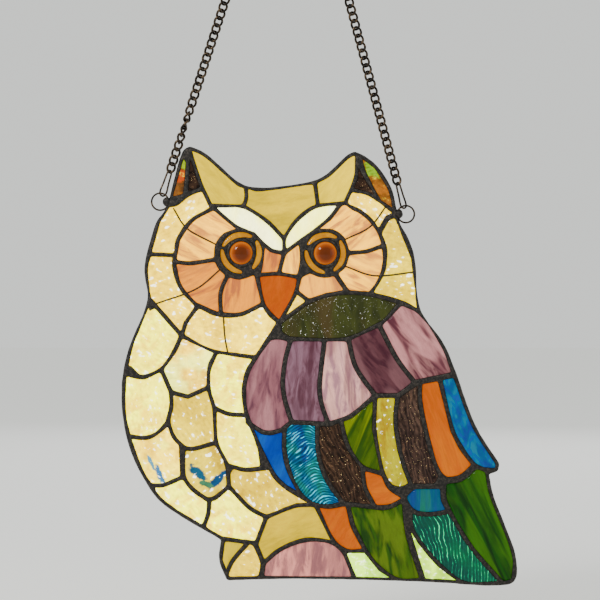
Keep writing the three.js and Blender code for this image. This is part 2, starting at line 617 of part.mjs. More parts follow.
const openings = openOutlines();
addPiece('leading', leading(openings), solder);
for (const pane of glass(openings)) {
  const loop = faceOutline(pane);
  const name = Object.keys(PANES).find((key) => inside(loop, PANES[key][0]));
  addPiece(name, pane, glassOf(PANES[name][1]));
}
for (const [side, eye] of Object.entries(EYES)) {
  addPiece(`eye_${side}`, gem(eye.gem), glassOf('orange'));
  addPiece(`iris_${side}`, amberRing(eye.gem), glassOf('amber'));
}
for (const [side, ringSpec] of Object.entries(RINGS)) {
  addPiece(`ring_${side}`, ring(ringSpec.centre, SIDE_RING, WIRE), bronze);
  addPiece(`chain_${side}`, strand(ringSpec), bronze);
}
addPiece('hanging_ring', ring(HANG_RING.centre, HANG_RING.radius, HANG_RING.wire), bronze);

export default part;
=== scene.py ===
import bpy
import colorsys
import math
import numpy as np
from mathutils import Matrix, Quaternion, Vector, geometry, kdtree, noise


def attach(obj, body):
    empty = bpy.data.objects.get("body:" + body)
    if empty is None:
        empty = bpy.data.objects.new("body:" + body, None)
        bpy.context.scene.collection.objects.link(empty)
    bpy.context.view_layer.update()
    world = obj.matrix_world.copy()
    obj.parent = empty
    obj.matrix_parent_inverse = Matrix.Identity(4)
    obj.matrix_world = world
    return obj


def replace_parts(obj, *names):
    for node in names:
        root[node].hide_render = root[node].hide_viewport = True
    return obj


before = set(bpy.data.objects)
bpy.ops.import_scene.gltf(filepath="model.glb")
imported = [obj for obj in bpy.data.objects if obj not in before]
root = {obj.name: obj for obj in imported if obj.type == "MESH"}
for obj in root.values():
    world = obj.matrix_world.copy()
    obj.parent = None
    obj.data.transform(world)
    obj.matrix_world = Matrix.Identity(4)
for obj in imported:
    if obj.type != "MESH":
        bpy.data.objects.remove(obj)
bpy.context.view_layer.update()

# Hanging stained glass owl. The solder network and the panes are drawn again, finely, from the
# outlines that the frame's leading holds. Sizes here are millimetres; meshes are made in metres.

MM = 0.001
DROP = 559.1            # the panel's base line lies this far under the origin
GLOW = 2.9              # light that comes through a pane, as its own glow
GLASS_LIGHT = GLOW + 1.45  # and with what falls on its face
THIRD_SHARE = 0.6       # how much of a sheet's third colour its clouds hold
GLASS_IOR = 1.45
GLASS = 2.6             # thickness of the sheet glass
FACE = GLASS / 2        # its front and back faces lie this far from the middle plane
LEAD_SINK = 0.16        # how far the rim of a bead starts below the glass's face
LAP = 0.35              # how far a pane runs on under the solder
SEAM_SWELL = 0.2        # how much further a bead reaches on each side than the frame's
STEP = 1.0              # spacing of the points along an outline
CORNER = math.radians(36)  # an outline that turns more than this in one place has a corner there

GEM_RADIUS, GEM_BACK, GEM_GIRDLE, GEM_FRONT = 8.4, 2.2, -1.2, -5.9  # backs lie at positive y
GEM_GLOW = 9.0          # how far from its middle a gem's bands of painted light reach
IRIS_INNER, IRIS_OUTER = 9.2, 15.4
GEMS = {"left": (-36.3, 229.6), "right": (22.5, 229.4)}
RINGS = {
    "left": {"centre": (-93.0, 265.5), "solder": (-88.2, 265.3), "twist": 57.0},
    "right": {"centre": (79.0, 256.8), "solder": (73.9, 257.0), "twist": None},
}
SIDE_RING, WIRE = 5.95, 1.1
HANG_RING = {"centre": (0.0, 553.0), "radius": 6.8, "wire": 1.4}
CLIP = {"length": 19.8, "foot": 2.9, "head": 1.8}
LINK = {"length": 8.65, "width": 6.7, "wire": 1.5, "pitch": 5.35}
LINK_RADIUS, CLIP_RADIUS = 0.57 * LINK["wire"], 0.62 * WIRE
TWIST_RUN, TURN_RUN = 52.0, 40.0  # lengths over which a strand twists, and turns to the top ring
BLOB = {"across": 3.0, "deep": 2.3, "tall": 3.4}  # half sizes of the drop of solder at a ring
DISTANCE, VIEW_WIDTH, SENSOR = 1200.0, 420.0, 36.0
VIEW_MIDDLE = (4.9, 196.7)  # where the camera looks, over the base line


# Curves

def spline(points, closed, step=STEP):
    """Points along the centripetal curve through the given ones, about step apart."""
    pts = [np.array(p, float) for p in points]
    n = len(pts)
    if n == 2 and not closed:
        count = max(1, round(float(np.linalg.norm(pts[1] - pts[0])) / step))
        return [pts[0] + (pts[1] - pts[0]) * i / count for i in range(count + 1)]
    if closed:
        ring = [pts[-1]] + pts + [pts[0], pts[1]]
        spans = n
    else:
        ring = [2 * pts[0] - pts[1]] + pts + [2 * pts[-1] - pts[-2]]
        spans = n - 1
    out = []
    for i in range(spans):
        p0, p1, p2, p3 = ring[i:i + 4]
        t0 = 0.0
        t1 = t0 + max(np.linalg.norm(p1 - p0), 1e-6) ** 0.5
        t2 = t1 + max(np.linalg.norm(p2 - p1), 1e-6) ** 0.5
        t3 = t2 + max(np.linalg.norm(p3 - p2), 1e-6) ** 0.5
        count = max(1, round(float(np.linalg.norm(p2 - p1)) / step))
        for k in range(count):
            t = t1 + (t2 - t1) * k / count
            a1 = (t1 - t) / (t1 - t0) * p0 + (t - t0) / (t1 - t0) * p1
            a2 = (t2 - t) / (t2 - t1) * p1 + (t - t1) / (t2 - t1) * p2
            a3 = (t3 - t) / (t3 - t2) * p2 + (t - t2) / (t3 - t2) * p3
            b1 = (t2 - t) / (t2 - t0) * a1 + (t - t0) / (t2 - t0) * a2
            b2 = (t3 - t) / (t3 - t1) * a2 + (t - t1) / (t3 - t1) * a3
            out.append((t2 - t) / (t2 - t1) * b1 + (t - t1) / (t2 - t1) * b2)
    if not closed:
        out.append(pts[-1])
    return out


def sideways(loop):
    """Unit normals of a closed loop, to the left of its travel."""
    ahead = np.roll(loop, -1, 0) - np.roll(loop, 1, 0)
    ahead /= np.maximum(np.linalg.norm(ahead, axis=1, keepdims=True), 1e-9)
    return np.stack([-ahead[:, 1], ahead[:, 0]], 1)


def area(loop):
    """The area inside a loop, below zero where it runs clockwise."""
    x, z = loop[:, 0], loop[:, 1]
    return 0.5 * float(np.sum(x * np.roll(z, -1) - np.roll(x, -1) * z))


SLIVER_MOUTH, SLIVER_AREA, NOTCH = 2.2, 16, math.radians(70)


def snipped(loop):
    """An opening without thin slivers and without the square bead ends that poke into it."""
    n = len(loop)
    for i in range(n):
        for span in range(8, 2, -1):
            j = i + span
            if n < span + 3 or np.linalg.norm(loop[i] - loop[j % n]) > SLIVER_MOUTH:
                continue
            part = np.array([loop[k % n] for k in range(i, j + 1)])
            way = np.linalg.norm(np.diff(part, axis=0), axis=1).sum()
            if 4 < way < 20 and abs(area(part)) < SLIVER_AREA:
                return snipped(np.array([loop[k % n] for k in range(j, i + n + 1)]))
    kept = []
    for i in range(n):
        a, b = loop[i] - loop[i - 1], loop[(i + 1) % n] - loop[i]
        inward = a[0] * b[1] - a[1] * b[0] if area(loop) < 0 else a[1] * b[0] - a[0] * b[1]
        if math.atan2(inward, a[0] * b[0] + a[1] * b[1]) < NOTCH:
            kept.append(loop[i])
    return np.array(kept)


def crossing(p, q, r, s):
    """Where the stretch from p to q crosses the one from r to s, if it does."""
    a, b, c = q - p, s - r, r - p
    det = a[0] * b[1] - a[1] * b[0]
    if abs(det) < 1e-12:
        return None
    t, u = (c[0] * b[1] - c[1] * b[0]) / det, (c[0] * a[1] - c[1] * a[0]) / det
    return p + a * t if 0 < t < 1 and 0 < u < 1 else None


def untangled(loop):
    """The loop without the small knots that a sharp tip gets when its sides move inward."""
    i = 0
    while i < len(loop):
        n = len(loop)
        for span in range(2, 12):
            j = (i + span) % n
            spot = crossing(loop[i], loop[(i + 1) % n], loop[j], loop[(j + 1) % n])
            if spot is not None:
                loop = np.array([spot] + [loop[(j + 1 + k) % n] for k in range(n - span)])
                i = -1
                break
        i += 1
    return loop


def hand_drawn(loop, wander, edge):
    """The curve that a frame outline stands for: rounded corners and an edge that wavers."""
    n = len(loop)
    turn = []
    for i in range(n):
        a, b = loop[i] - loop[i - 1], loop[(i + 1) % n] - loop[i]
        turn.append(abs(math.atan2(a[0] * b[1] - a[1] * b[0], a[0] * b[0] + a[1] * b[1])))
    corners = [i for i in range(n) if turn[i] > CORNER]
    if len(corners) < 2:
        fine = spline(loop, True)
    else:
        fine = []
        for k, start in enumerate(corners):
            end = corners[(k + 1) % len(corners)]
            end += n if end <= start else 0
            fine += spline([loop[j % n] for j in range(start, end + 1)], False)[:-1]
    fine = np.array(fine)
    for _ in range(2):
        fine = 0.5 * fine + 0.25 * (np.roll(fine, 1, 0) + np.roll(fine, -1, 0))
    side = sideways(fine)
    sway = [noise.noise((x / 9, z / 9, 3.1)) + 0.5 * noise.noise((x / 3.5, z / 3.5, 7.7)) for x, z in fine]
    inward = SEAM_SWELL if area(loop) > 0 else -SEAM_SWELL
    return untangled(fine + side * (np.array(sway) * wander + (0 if edge else inward))[:, None])


def frame_outlines():
    """The outlines of the leading's flat front face: the panel's edge first, then the openings."""
    mesh = root["leading"].data
    front = min(v.co.y for v in mesh.vertices if v.co.z > -0.5)
    key = lambda v: (round(v.co.x / MM * 50), round(v.co.z / MM * 50))
    place, ahead, edges = {}, {}, set()
    for poly in mesh.polygons:
        corners = [mesh.vertices[i] for i in poly.vertices]
        if any(abs(v.co.y - front) > 2e-5 for v in corners):
            continue
        keys = [key(v) for v in corners]
        place.update({k: (v.co.x / MM, v.co.z / MM + DROP) for k, v in zip(keys, corners)})
        edges.update((a, b) for a, b in zip(keys, keys[1:] + keys[:1]) if a != b)
    for a, b in edges:
        if (b, a) not in edges:
            ahead.setdefault(a, []).append(b)
    loops = []
    while ahead:
        start = min(ahead)
        at, loop = start, []
        while at in ahead:
            loop.append(place[at])
            onward = ahead[at].pop()
            if not ahead[at]:
                del ahead[at]
            at = onward
        if len(loop) > 2:
            loops.append(np.array(loop))
    return sorted(loops, key=lambda one: -abs(area(one)))


def crossings(points, loops):
    """For each point, whether it lies inside an odd number of the loops."""
    a = np.concatenate(loops)
    b = np.concatenate([np.roll(loop, -1, 0) for loop in loops])
    odd = np.zeros(len(points), bool)
    slope = (b[:, 0] - a[:, 0]) / np.where(b[:, 1] == a[:, 1], 1.0, b[:, 1] - a[:, 1])
    for s in range(0, len(points), 400):
        x, z = points[s:s + 400, 0:1], points[s:s + 400, 1:2]
        spans = (a[:, 1] > z) != (b[:, 1] > z)
        left = x < a[:, 0] + (z - a[:, 1]) * slope
        odd[s:s + 400] = (spans & left).sum(1) % 2 == 1
    return odd


def triangles(points, loops):
    """Triangles over the area that an odd number of the loops enclose."""
    edges, at = [], 0
    for loop in loops:
        n = len(loop)
        edges += [(at + i, at + (i + 1) % n) for i in range(n)]
        at += n
    made = geometry.delaunay_2d_cdt([Vector(p) for p in points], edges, [], 0, 1e-6, True)
    verts = np.array([v[:] for v in made[0]])
    source = [ids[0] if ids else -1 for ids in made[3]]
    tris = np.array(made[2])
    return verts, source, tris[crossings(verts[tris].mean(1), loops)]


# Meshes

def piece(name, verts, faces, material):
    """A smooth mesh on the panel, from places in millimetres above its base line."""
    mesh = bpy.data.meshes.new(name)
    mesh.from_pydata([(x * MM, y * MM, (z - DROP) * MM) for x, y, z in verts], [], faces)
    mesh.validate()
    mesh.materials.append(material)
    mesh.polygons.foreach_set("use_smooth", [True] * len(mesh.polygons))
    obj = bpy.data.objects.new(name, mesh)
    bpy.context.scene.collection.objects.link(obj)
    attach(obj, "root")
    return obj


def tube_parts(path, radius, sides, closed):
    """Vertices and faces of round wire along a path of points."""
    path = [Vector(p) for p in path]
    n = len(path)
    verts, faces = [], []
    across = None
    for i, p in enumerate(path):
        before = path[i - 1] if closed or i else path[0]
        after = path[(i + 1) % n] if closed or i < n - 1 else path[-1]
        along = (after - before).normalized()
        if across is None:
            across = along.orthogonal().normalized()
        across = (across - along * across.dot(along)).normalized()
        up = along.cross(across)
        r = radius(i / (n - 1)) if callable(radius) else radius
        for k in range(sides):
            a = 2 * math.pi * k / sides
            verts.append(p + (across * math.cos(a) + up * math.sin(a)) * r)
    first = [verts[k] for k in range(sides)]
    shift = 0
    if closed:
        shift = min(range(sides), key=lambda s: (verts[(n - 1) * sides + s] - first[0]).length)
    for i in range(n if closed else n - 1):
        j = (i + 1) % n
        turn = shift if closed and i == n - 1 else 0
        for k in range(sides):
            a, b = i * sides + (k + turn) % sides, i * sides + (k + 1 + turn) % sides
            faces.append((a, b, j * sides + (k + 1) % sides, j * sides + k))
    if not closed:
        faces.append(tuple(range(sides))[::-1])
        faces.append(tuple((n - 1) * sides + k for k in range(sides)))
    return [tuple(v) for v in verts], faces


def wire(name, path, radius, material, sides=12, closed=False):
    """Round wire along a path, open or closed to a ring."""
    verts, faces = tube_parts(path, radius, sides, closed)
    return piece(name, verts, faces, material)


def lathe(name, centre, profile, material, steps=56):
    """A round piece about an axis that points to the front: profile holds (radius, y)."""
    verts, faces, rows = [], [], []
    for r, y in profile:
        if r < 1e-6:
            rows.append([len(verts)] * steps)
            verts.append((centre[0], y, centre[1]))
            continue
        rows.append(list(range(len(verts), len(verts) + steps)))
        verts += [(centre[0] + r * math.cos(2 * math.pi * k / steps), y,
                   centre[1] + r * math.sin(2 * math.pi * k / steps)) for k in range(steps)]
    for a, b in zip(rows, rows[1:] + ([rows[0]] if profile[0][0] > 1e-6 else [])):
        for k in range(steps):
            q = [a[k], a[(k + 1) % steps], b[(k + 1) % steps], b[k]]
            faces.append(tuple(dict.fromkeys(q)))
    return piece(name, verts, faces, material)


# Materials

def srgb(r, g, b):
    """A painted colour, 0 to 255, as plain light."""
    return tuple(((c / 255 + 0.055) / 1.055) ** 2.4 if c > 10 else c / 255 / 12.92
                 for c in (r, g, b)) + (1.0,)


# How the picture's film-like view turns light into what is seen: in wide primaries the three
# colours are drawn in towards each other, follow an S-curve over stops of light, go part of the
# way back to their first hue, and part again. The settings are the published ones as remembered,
# not looked up, and were picked from 64 variants of them by a fit.
WIDE = np.array([[0.627, 0.329, 0.043], [0.069, 0.920, 0.011], [0.016, 0.088, 0.896]])
DRAWN_IN = np.array([[0.857, 0.095, 0.048], [0.137, 0.761, 0.102], [0.112, 0.077, 0.811]])
SHARED = np.array([0.111, 0.087, 0.013])  # what each colour loses to all three when they part
PARTED = np.linalg.inv((1 - SHARED.sum()) * np.eye(3) + SHARED)
DARKEST_STOP, STOPS = -12.474, 16.5
SCREEN_POWER = 2.4
GREY_AT, GREY = 10 / STOPS, 0.18 ** (1 / SCREEN_POWER)  # middle grey, along the stops and as shown
STEEPNESS, ROUNDING = 2.4, 1.5
HUE_SHIFT = 0.4         # how far the hue goes from its first value to the curve's
DARKEST_LIGHT = 1e-9


def s_curve(stops):
    """Brightness along the stops, from 0 to 1: steepest at middle grey, rounded to both ends."""
    above = stops > GREY_AT
    reach = STEEPNESS * np.where(above, 1 - GREY_AT, GREY_AT)
    room = np.where(above, 1 - GREY, GREY)
    size = (reach ** -ROUNDING * ((reach / room) ** ROUNDING - 1)) ** (-1 / ROUNDING)
    rise = STEEPNESS * np.abs(stops - GREY_AT) / size
    rise = size * rise / (1 + rise ** ROUNDING) ** (1 / ROUNDING)
    return GREY + np.where(above, rise, -rise)


def seen(light):
    """The colour, each part 0 to 1, that the view shows for a light."""
    wide = np.maximum(DRAWN_IN @ WIDE @ light, DARKEST_LIGHT)
    stops = np.clip((np.log2(wide) - DARKEST_STOP) / STOPS, 0, 1)
    shown = np.clip(s_curve(stops), 0, 1) ** SCREEN_POWER
    first = colorsys.rgb_to_hsv(*wide / wide.max())[0]
    hue, strength, value = colorsys.rgb_to_hsv(*shown)
    shift = (hue - first + 0.5) % 1 - 0.5
    shown = np.array(colorsys.hsv_to_rgb((first + HUE_SHIFT * shift) % 1, strength, value))
    shown = np.clip(np.linalg.solve(WIDE, PARTED @ shown), 0, 1)
    bright = 1.055 * np.maximum(shown, DARKEST_LIGHT) ** (1 / 2.4) - 0.055
    return np.where(shown < 0.0031, shown * 12.92, bright)


def lit(r, g, b):
    """The colour of glass that is seen as r, g, b (0 to 255) where it is lit as the panes are.

    It is reached in small damped steps, and is the nearest one where the view can't show it."""
    wanted = np.array((r, g, b)) / 255
    brightest = math.log(GLASS_LIGHT)
    guess = np.minimum(np.log(np.maximum(1.4 * wanted ** 2.2, 3e-3)), brightest)
    for _ in range(60):
        at = seen(np.exp(guess))
        slope = np.stack([(seen(np.exp(guess + step)) - at) / 1e-3 for step in np.eye(3) * 1e-3], 1)
        move = np.linalg.solve(slope.T @ slope + 4e-3 * np.eye(3), slope.T @ (wanted - at))
        guess = np.clip(guess + np.clip(move, -0.4, 0.4), -6.5, brightest)
    return tuple(float(c) for c in np.exp(guess) / GLASS_LIGHT) + (1.0,)


def new_group(name, inputs, outputs):
    """A shared effect with named inputs and outputs, and its two end nodes."""
    tree = bpy.data.node_groups.new(name, "ShaderNodeTree")
    for label, kind, value in inputs:
        socket = tree.interface.new_socket(label, in_out="INPUT", socket_type=kind)
        if value is not None:
            socket.default_value = value
    for label, kind in outputs:
        tree.interface.new_socket(label, in_out="OUTPUT", socket_type=kind)
    return tree, tree.nodes.new("NodeGroupInput"), tree.nodes.new("NodeGroupOutput")


def add(tree, kind, **values):
    """A node with its settings (plain names) and its sockets' values (names with in_)."""
    node = tree.nodes.new(kind)
    for key, value in values.items():
        if key.startswith("in_"):
            node.inputs[key[3:].replace("_", " ")].default_value = value
        else:
            setattr(node, key, value)
    return node


def math_node(tree, operation, a, b, c=None):
    """The result of a sum whose terms are numbers or other nodes' outputs."""
    node = add(tree, "ShaderNodeMath", operation=operation)
    for socket, value in zip(node.inputs, (a, b, c)):
        if value is None:
            continue
        if isinstance(value, (int, float)):
            socket.default_value = value
        else:
            tree.links.new(value, socket)
    return node.outputs[0]


def mask_between(tree, value, low, high):
    """A soft mask that rises from 0 to 1 while the value goes from low to high."""
    node = add(tree, "ShaderNodeMapRange", interpolation_type="SMOOTHSTEP")
    node.inputs["From Min"].default_value = low
    node.inputs["From Max"].default_value = high
    tree.links.new(value, node.inputs["Value"])
    return node.outputs["Result"]


def mixed(tree, factor, a, b):
    """Colour a where the factor is 0 and colour b where it is 1."""
    node = add(tree, "ShaderNodeMix", data_type="RGBA", clamp_factor=True)
    for socket, value in ((node.inputs[0], factor), (node.inputs[6], a), (node.inputs[7], b)):
        if isinstance(value, tuple):
            socket.default_value = value
        else:
            tree.links.new(value, socket)
    return node.outputs[2]


def streaks_group():
    """Swirled streaks of sheet glass: long ones, soft clouds and a fine grain."""
    tree, given, out = new_group(
        "glass_streaks",
        [("Vector", "NodeSocketVector", None), ("Warp", "NodeSocketFloat", 1.0)],
        [("Streak", "NodeSocketFloat"), ("Cloud", "NodeSocketFloat"), ("Grain", "NodeSocketFloat")],
    )
    for label, scale, detail, rough, low, high in (
        ("Streak", 1.0, 4.0, 0.55, 0.38, 0.62),
        ("Cloud", 0.42, 2.0, 0.5, 0.36, 0.64),
        ("Grain", 5.0, 3.0, 0.6, 0.30, 0.70),
    ):
        cloud = add(tree, "ShaderNodeTexNoise", in_Scale=scale, in_Detail=detail, in_Roughness=rough)
        tree.links.new(given.outputs["Vector"], cloud.inputs["Vector"])
        tree.links.new(given.outputs["Warp"], cloud.inputs["Distortion"])
        tree.links.new(mask_between(tree, cloud.outputs[0], low, high), out.inputs[label])
    return tree


def glints_group():
    """Painted glints: bright specks where a rough skin of glass catches the light, the fine unevenness
    under them, and patches that break up the painted crest highlights.
    """
    tree, given, out = new_group(
        "glass_glints",
        [("Vector", "NodeSocketVector", None), ("Size", "NodeSocketFloat", 1.0)],
        [("Height", "NodeSocketFloat"), ("Glint", "NodeSocketFloat"), ("Break", "NodeSocketFloat")],
    )
    scale = math_node(tree, "DIVIDE", 1.0, given.outputs["Size"])
    for label, factor, detail, low, high in (
        ("Height", 1.0, 3.0, None, None),
        ("Glint", 1.25, 2.0, 0.69, 0.74),
        ("Break", 0.45, 2.0, 0.42, 0.62),
    ):
        specks = add(tree, "ShaderNodeTexNoise", in_Detail=detail, in_Roughness=0.6, in_Distortion=1.0)
        tree.links.new(given.outputs["Vector"], specks.inputs["Vector"])
        tree.links.new(math_node(tree, "MULTIPLY", scale, factor), specks.inputs["Scale"])
        value = specks.outputs[0] if low is None else mask_between(tree, specks.outputs[0], low, high)
        tree.links.new(value, out.inputs[label])
    return tree


def tarnish_group():
    """Uneven patina on metal: dark hollows, browner rubbed patches and a fine pitting."""
    tree, given, out = new_group(
        "metal_tarnish",
        [("Vector", "NodeSocketVector", None), ("Patch", "NodeSocketFloat", 6.0)],
        [("Rubbed", "NodeSocketFloat"), ("Pits", "NodeSocketFloat")],
    )
    scale = math_node(tree, "DIVIDE", 1.0, given.outputs["Patch"])
    patch = add(tree, "ShaderNodeTexNoise", in_Detail=4.0, in_Roughness=0.6, in_Distortion=0.4)
    tree.links.new(given.outputs["Vector"], patch.inputs["Vector"])
    tree.links.new(scale, patch.inputs["Scale"])
    tree.links.new(mask_between(tree, patch.outputs[0], 0.42, 0.66), out.inputs["Rubbed"])
    pits = add(tree, "ShaderNodeTexNoise", in_Detail=4.0, in_Roughness=0.7)
    tree.links.new(given.outputs["Vector"], pits.inputs["Vector"])
    tree.links.new(math_node(tree, "MULTIPLY", scale, 7.0), pits.inputs["Scale"])
    tree.links.new(pits.outputs[0], out.inputs["Pits"])
    return tree


STREAKS, GLINTS, TARNISH = streaks_group(), glints_group(), tarnish_group()


def start_material(name):
    """A new material, its node tree and its shader."""
    material = bpy.data.materials.new(name)
    material.use_nodes = True
    tree = material.node_tree
    return material, tree, tree.nodes["Principled BSDF"]


def in_millimetres(tree, turn=0.0, stretch=(1, 1, 1), shift=(0, 0, 0)):
    """Places on the piece in millimetres, turned in the panel's plane and stretched."""
    spot = add(tree, "ShaderNodeTexCoord")
    turned = add(tree, "ShaderNodeMapping")
    turned.inputs["Rotation"].default_value = (0, -turn, 0)
    turned.inputs["Scale"].default_value = (1 / MM,) * 3
    sized = add(tree, "ShaderNodeMapping")
    sized.inputs["Scale"].default_value = stretch
    sized.inputs["Location"].default_value = shift
    tree.links.new(spot.outputs["Object"], turned.inputs["Vector"])
    tree.links.new(turned.outputs[0], sized.inputs["Vector"])
    return sized.outputs[0]


def placed(tree, group, vector, **values):
    """A shared effect set into a material, with this material's values."""
    node = add(tree, "ShaderNodeGroup", node_tree=group)
    tree.links.new(vector, node.inputs["Vector"])
    for key, value in values.items():
        node.inputs[key].default_value = value
    return node


def bump(tree, height, distance, shader):
    """Fine unevenness of the surface, distance millimetres deep."""
    node = add(tree, "ShaderNodeBump", in_Distance=distance * MM)
    tree.links.new(height, node.inputs["Height"])
    tree.links.new(node.outputs[0], shader.inputs["Normal"])


def metal(name, dark, light, metallic, rough, patch, pitting):
    """Patinated metal, dark in its hollows and lighter where it is rubbed, in patches that wide."""
    material, tree, shader = start_material(name)
    tarnish = placed(tree, TARNISH, in_millimetres(tree), Patch=patch)
    colour = mixed(tree, tarnish.outputs["Rubbed"], srgb(*dark), srgb(*light))
    tree.links.new(colour, shader.inputs["Base Color"])
    sheen = add(tree, "ShaderNodeMapRange")
    sheen.inputs["To Min"].default_value, sheen.inputs["To Max"].default_value = rough + 0.12, rough
    tree.links.new(tarnish.outputs["Rubbed"], sheen.inputs["Value"])
    tree.links.new(sheen.outputs[0], shader.inputs["Roughness"])
    shader.inputs["Metallic"].default_value = metallic
    bump(tree, tarnish.outputs["Pits"], pitting, shader)
    return material


def brush_mark(tree, centre, lean, tall, wide):
    """Where a stroke of other glass runs through a sheet, tall and wide to each side of its centre."""
    spot = in_millimetres(tree)
    wander = add(tree, "ShaderNodeTexNoise", in_Scale=0.35, in_Detail=3.0, in_Distortion=0.6)
    tree.links.new(spot, wander.inputs["Vector"])
    away = add(tree, "ShaderNodeVectorMath", operation="SUBTRACT")
    tree.links.new(spot, away.inputs[0])
    away.inputs[1].default_value = (centre[0], 0, centre[1] - DROP)
    turned = add(tree, "ShaderNodeMapping")
    turned.inputs["Rotation"].default_value = (0, -lean, 0)
    tree.links.new(away.outputs[0], turned.inputs["Vector"])
    shaped = add(tree, "ShaderNodeVectorMath", operation="MULTIPLY")
    tree.links.new(turned.outputs[0], shaped.inputs[0])
    shaped.inputs[1].default_value = (1 / wide, 0, 1 / tall)
    length = add(tree, "ShaderNodeVectorMath", operation="LENGTH")
    tree.links.new(shaped.outputs[0], length.inputs[0])
    frayed = math_node(tree, "MULTIPLY_ADD", wander.outputs[0], 1.4, length.outputs["Value"])
    return mask_between(tree, frayed, 1.75, 1.35)


def sheet_glass(name, colours, turn=0.0, long=3.0, size=9.0, warp=0.8, seed=0.0, specks=0.0,
                speck_size=1.1, glint_colour=(244, 242, 234), crest_highlight=None, crest_highlight_cover=(0.45, 0.9),
                crest_highlight_amount=0.5, crest_highlight_break=1.0, hollow_shade=0.0, clear=0.0, rough=0.14, marks=()):
    """Sheet glass of three colours in streaks, size wide and long times that in length.

    The crests of the pane's own relief take a painted highlight in the crest colour, its hollows take
    painted shade, and bright specks are painted glints."""
    material, tree, shader = start_material(name)
    first, second, third = (colours + colours[-1:])[:3]
    stretch, shift = (1 / size, 1 / size, 1 / (size * long)), (seed * 3.7, seed, seed * 1.9)
    flow = in_millimetres(tree, turn, stretch, shift)
    streaks = placed(tree, STREAKS, flow, Warp=warp)
    colour = mixed(tree, streaks.outputs["Streak"], lit(*first), lit(*second))
    blot = mask_between(tree, streaks.outputs["Cloud"], 0.0, 1.0)
    colour = mixed(tree, math_node(tree, "MULTIPLY", blot, THIRD_SHARE), colour, lit(*third))
    for (x, z), lean, tall, wide, tint in marks:
        cover = brush_mark(tree, (x, z), lean, tall, wide)
        colour = mixed(tree, cover, colour, lit(*tint))
    relief = add(tree, "ShaderNodeAttribute", attribute_name="relief").outputs["Fac"]
    # The grain varies the tone at random, and the hollow amount adds painted shade in the relief's hollows.
    grain_and_shade = math_node(tree, "MULTIPLY_ADD", streaks.outputs["Grain"], 0.16, 0.92)
    if hollow_shade:
        deep = mask_between(tree, relief, 0.1, -0.9)
        grain_and_shade = math_node(tree, "MULTIPLY", grain_and_shade, math_node(tree, "MULTIPLY_ADD", deep, -hollow_shade, 1.0))
    shaded = add(tree, "ShaderNodeVectorMath", operation="SCALE")
    tree.links.new(colour, shaded.inputs[0])
    tree.links.new(grain_and_shade, shaded.inputs["Scale"])
    colour = shaded.outputs[0]
    grain = in_millimetres(tree, turn, shift=(seed, seed * 2.3, seed * 1.1))
    skin = placed(tree, GLINTS, grain, Size=speck_size)
    # Painted highlight: the relief's crests take the crest colour, broken up in patches.
    if crest_highlight:
        crest_highlight_mask = mask_between(tree, relief, *crest_highlight_cover)
        kept = math_node(tree, "MULTIPLY_ADD", skin.outputs["Break"], crest_highlight_break, 1 - crest_highlight_break)
        broken_crest_highlight = math_node(tree, "MULTIPLY", crest_highlight_mask, kept)
        colour = mixed(tree, math_node(tree, "MULTIPLY", broken_crest_highlight, crest_highlight_amount), colour, lit(*crest_highlight))
    # Painted glints: bright specks in the glint colour.
    if specks:
        glint_mask = math_node(tree, "MULTIPLY", skin.outputs["Glint"], specks)
        colour = mixed(tree, glint_mask, colour, lit(*glint_colour))
    tree.links.new(colour, shader.inputs["Base Color"])
    # The pane glows by emission: painted light standing in for what shines through it from behind.
    tree.links.new(colour, shader.inputs["Emission Color"])
    shader.inputs["Emission Strength"].default_value = GLOW
    shader.inputs["Roughness"].default_value = rough
    shader.inputs["IOR"].default_value = GLASS_IOR
    shader.inputs["Specular IOR Level"].default_value = 0.1
    shader.inputs["Transmission Weight"].default_value = clear
    bump(tree, skin.outputs["Height"], 0.05, shader)
    return material


def cabochon_glass(name, centre):
    """Amber glass that glows by itself in bands of painted light: dark in the middle and lightest in a band
    near its rim, where light through the dome gathers.
    """
    material, tree, shader = start_material(name)
    spot = in_millimetres(tree)
    away = add(tree, "ShaderNodeVectorMath", operation="DISTANCE")
    flat = add(tree, "ShaderNodeVectorMath", operation="MULTIPLY")
    flat.inputs[1].default_value = (1, 0, 1)
    tree.links.new(spot, flat.inputs[0])
    tree.links.new(flat.outputs[0], away.inputs[0])
    away.inputs[1].default_value = (centre[0] + 0.5, 0, centre[1] - DROP - 0.5)
    ramp = add(tree, "ShaderNodeValToRGB")
    glow_bands = [(0.0, (94, 36, 0)), (0.45, (110, 42, 0)), (0.66, (164, 70, 0)), (0.86, (218, 126, 24)),
             (1.0, (120, 50, 0))]
    for _ in glow_bands[2:]:
        ramp.color_ramp.elements.new(0.5)
    for element, (at, colour) in zip(ramp.color_ramp.elements, glow_bands):
        element.position, element.color = at, lit(*colour)
    tree.links.new(math_node(tree, "DIVIDE", away.outputs["Value"], GEM_GLOW), ramp.inputs[0])
    tree.links.new(ramp.outputs[0], shader.inputs["Base Color"])
    tree.links.new(ramp.outputs[0], shader.inputs["Emission Color"])
    shader.inputs["Emission Strength"].default_value = GLOW
    shader.inputs["Roughness"].default_value = 0.06
    shader.inputs["IOR"].default_value = GLASS_IOR
    shader.inputs["Specular IOR Level"].default_value = 0.16
    return material


SOLDER = metal("patina_solder", (17, 15, 13), (50, 44, 38), 0.6, 0.32, patch=2.2, pitting=0.24)
BRONZE = metal("antique_bronze", (26, 21, 17), (82, 66, 48), 0.85, 0.30, patch=3.0, pitting=0.03)

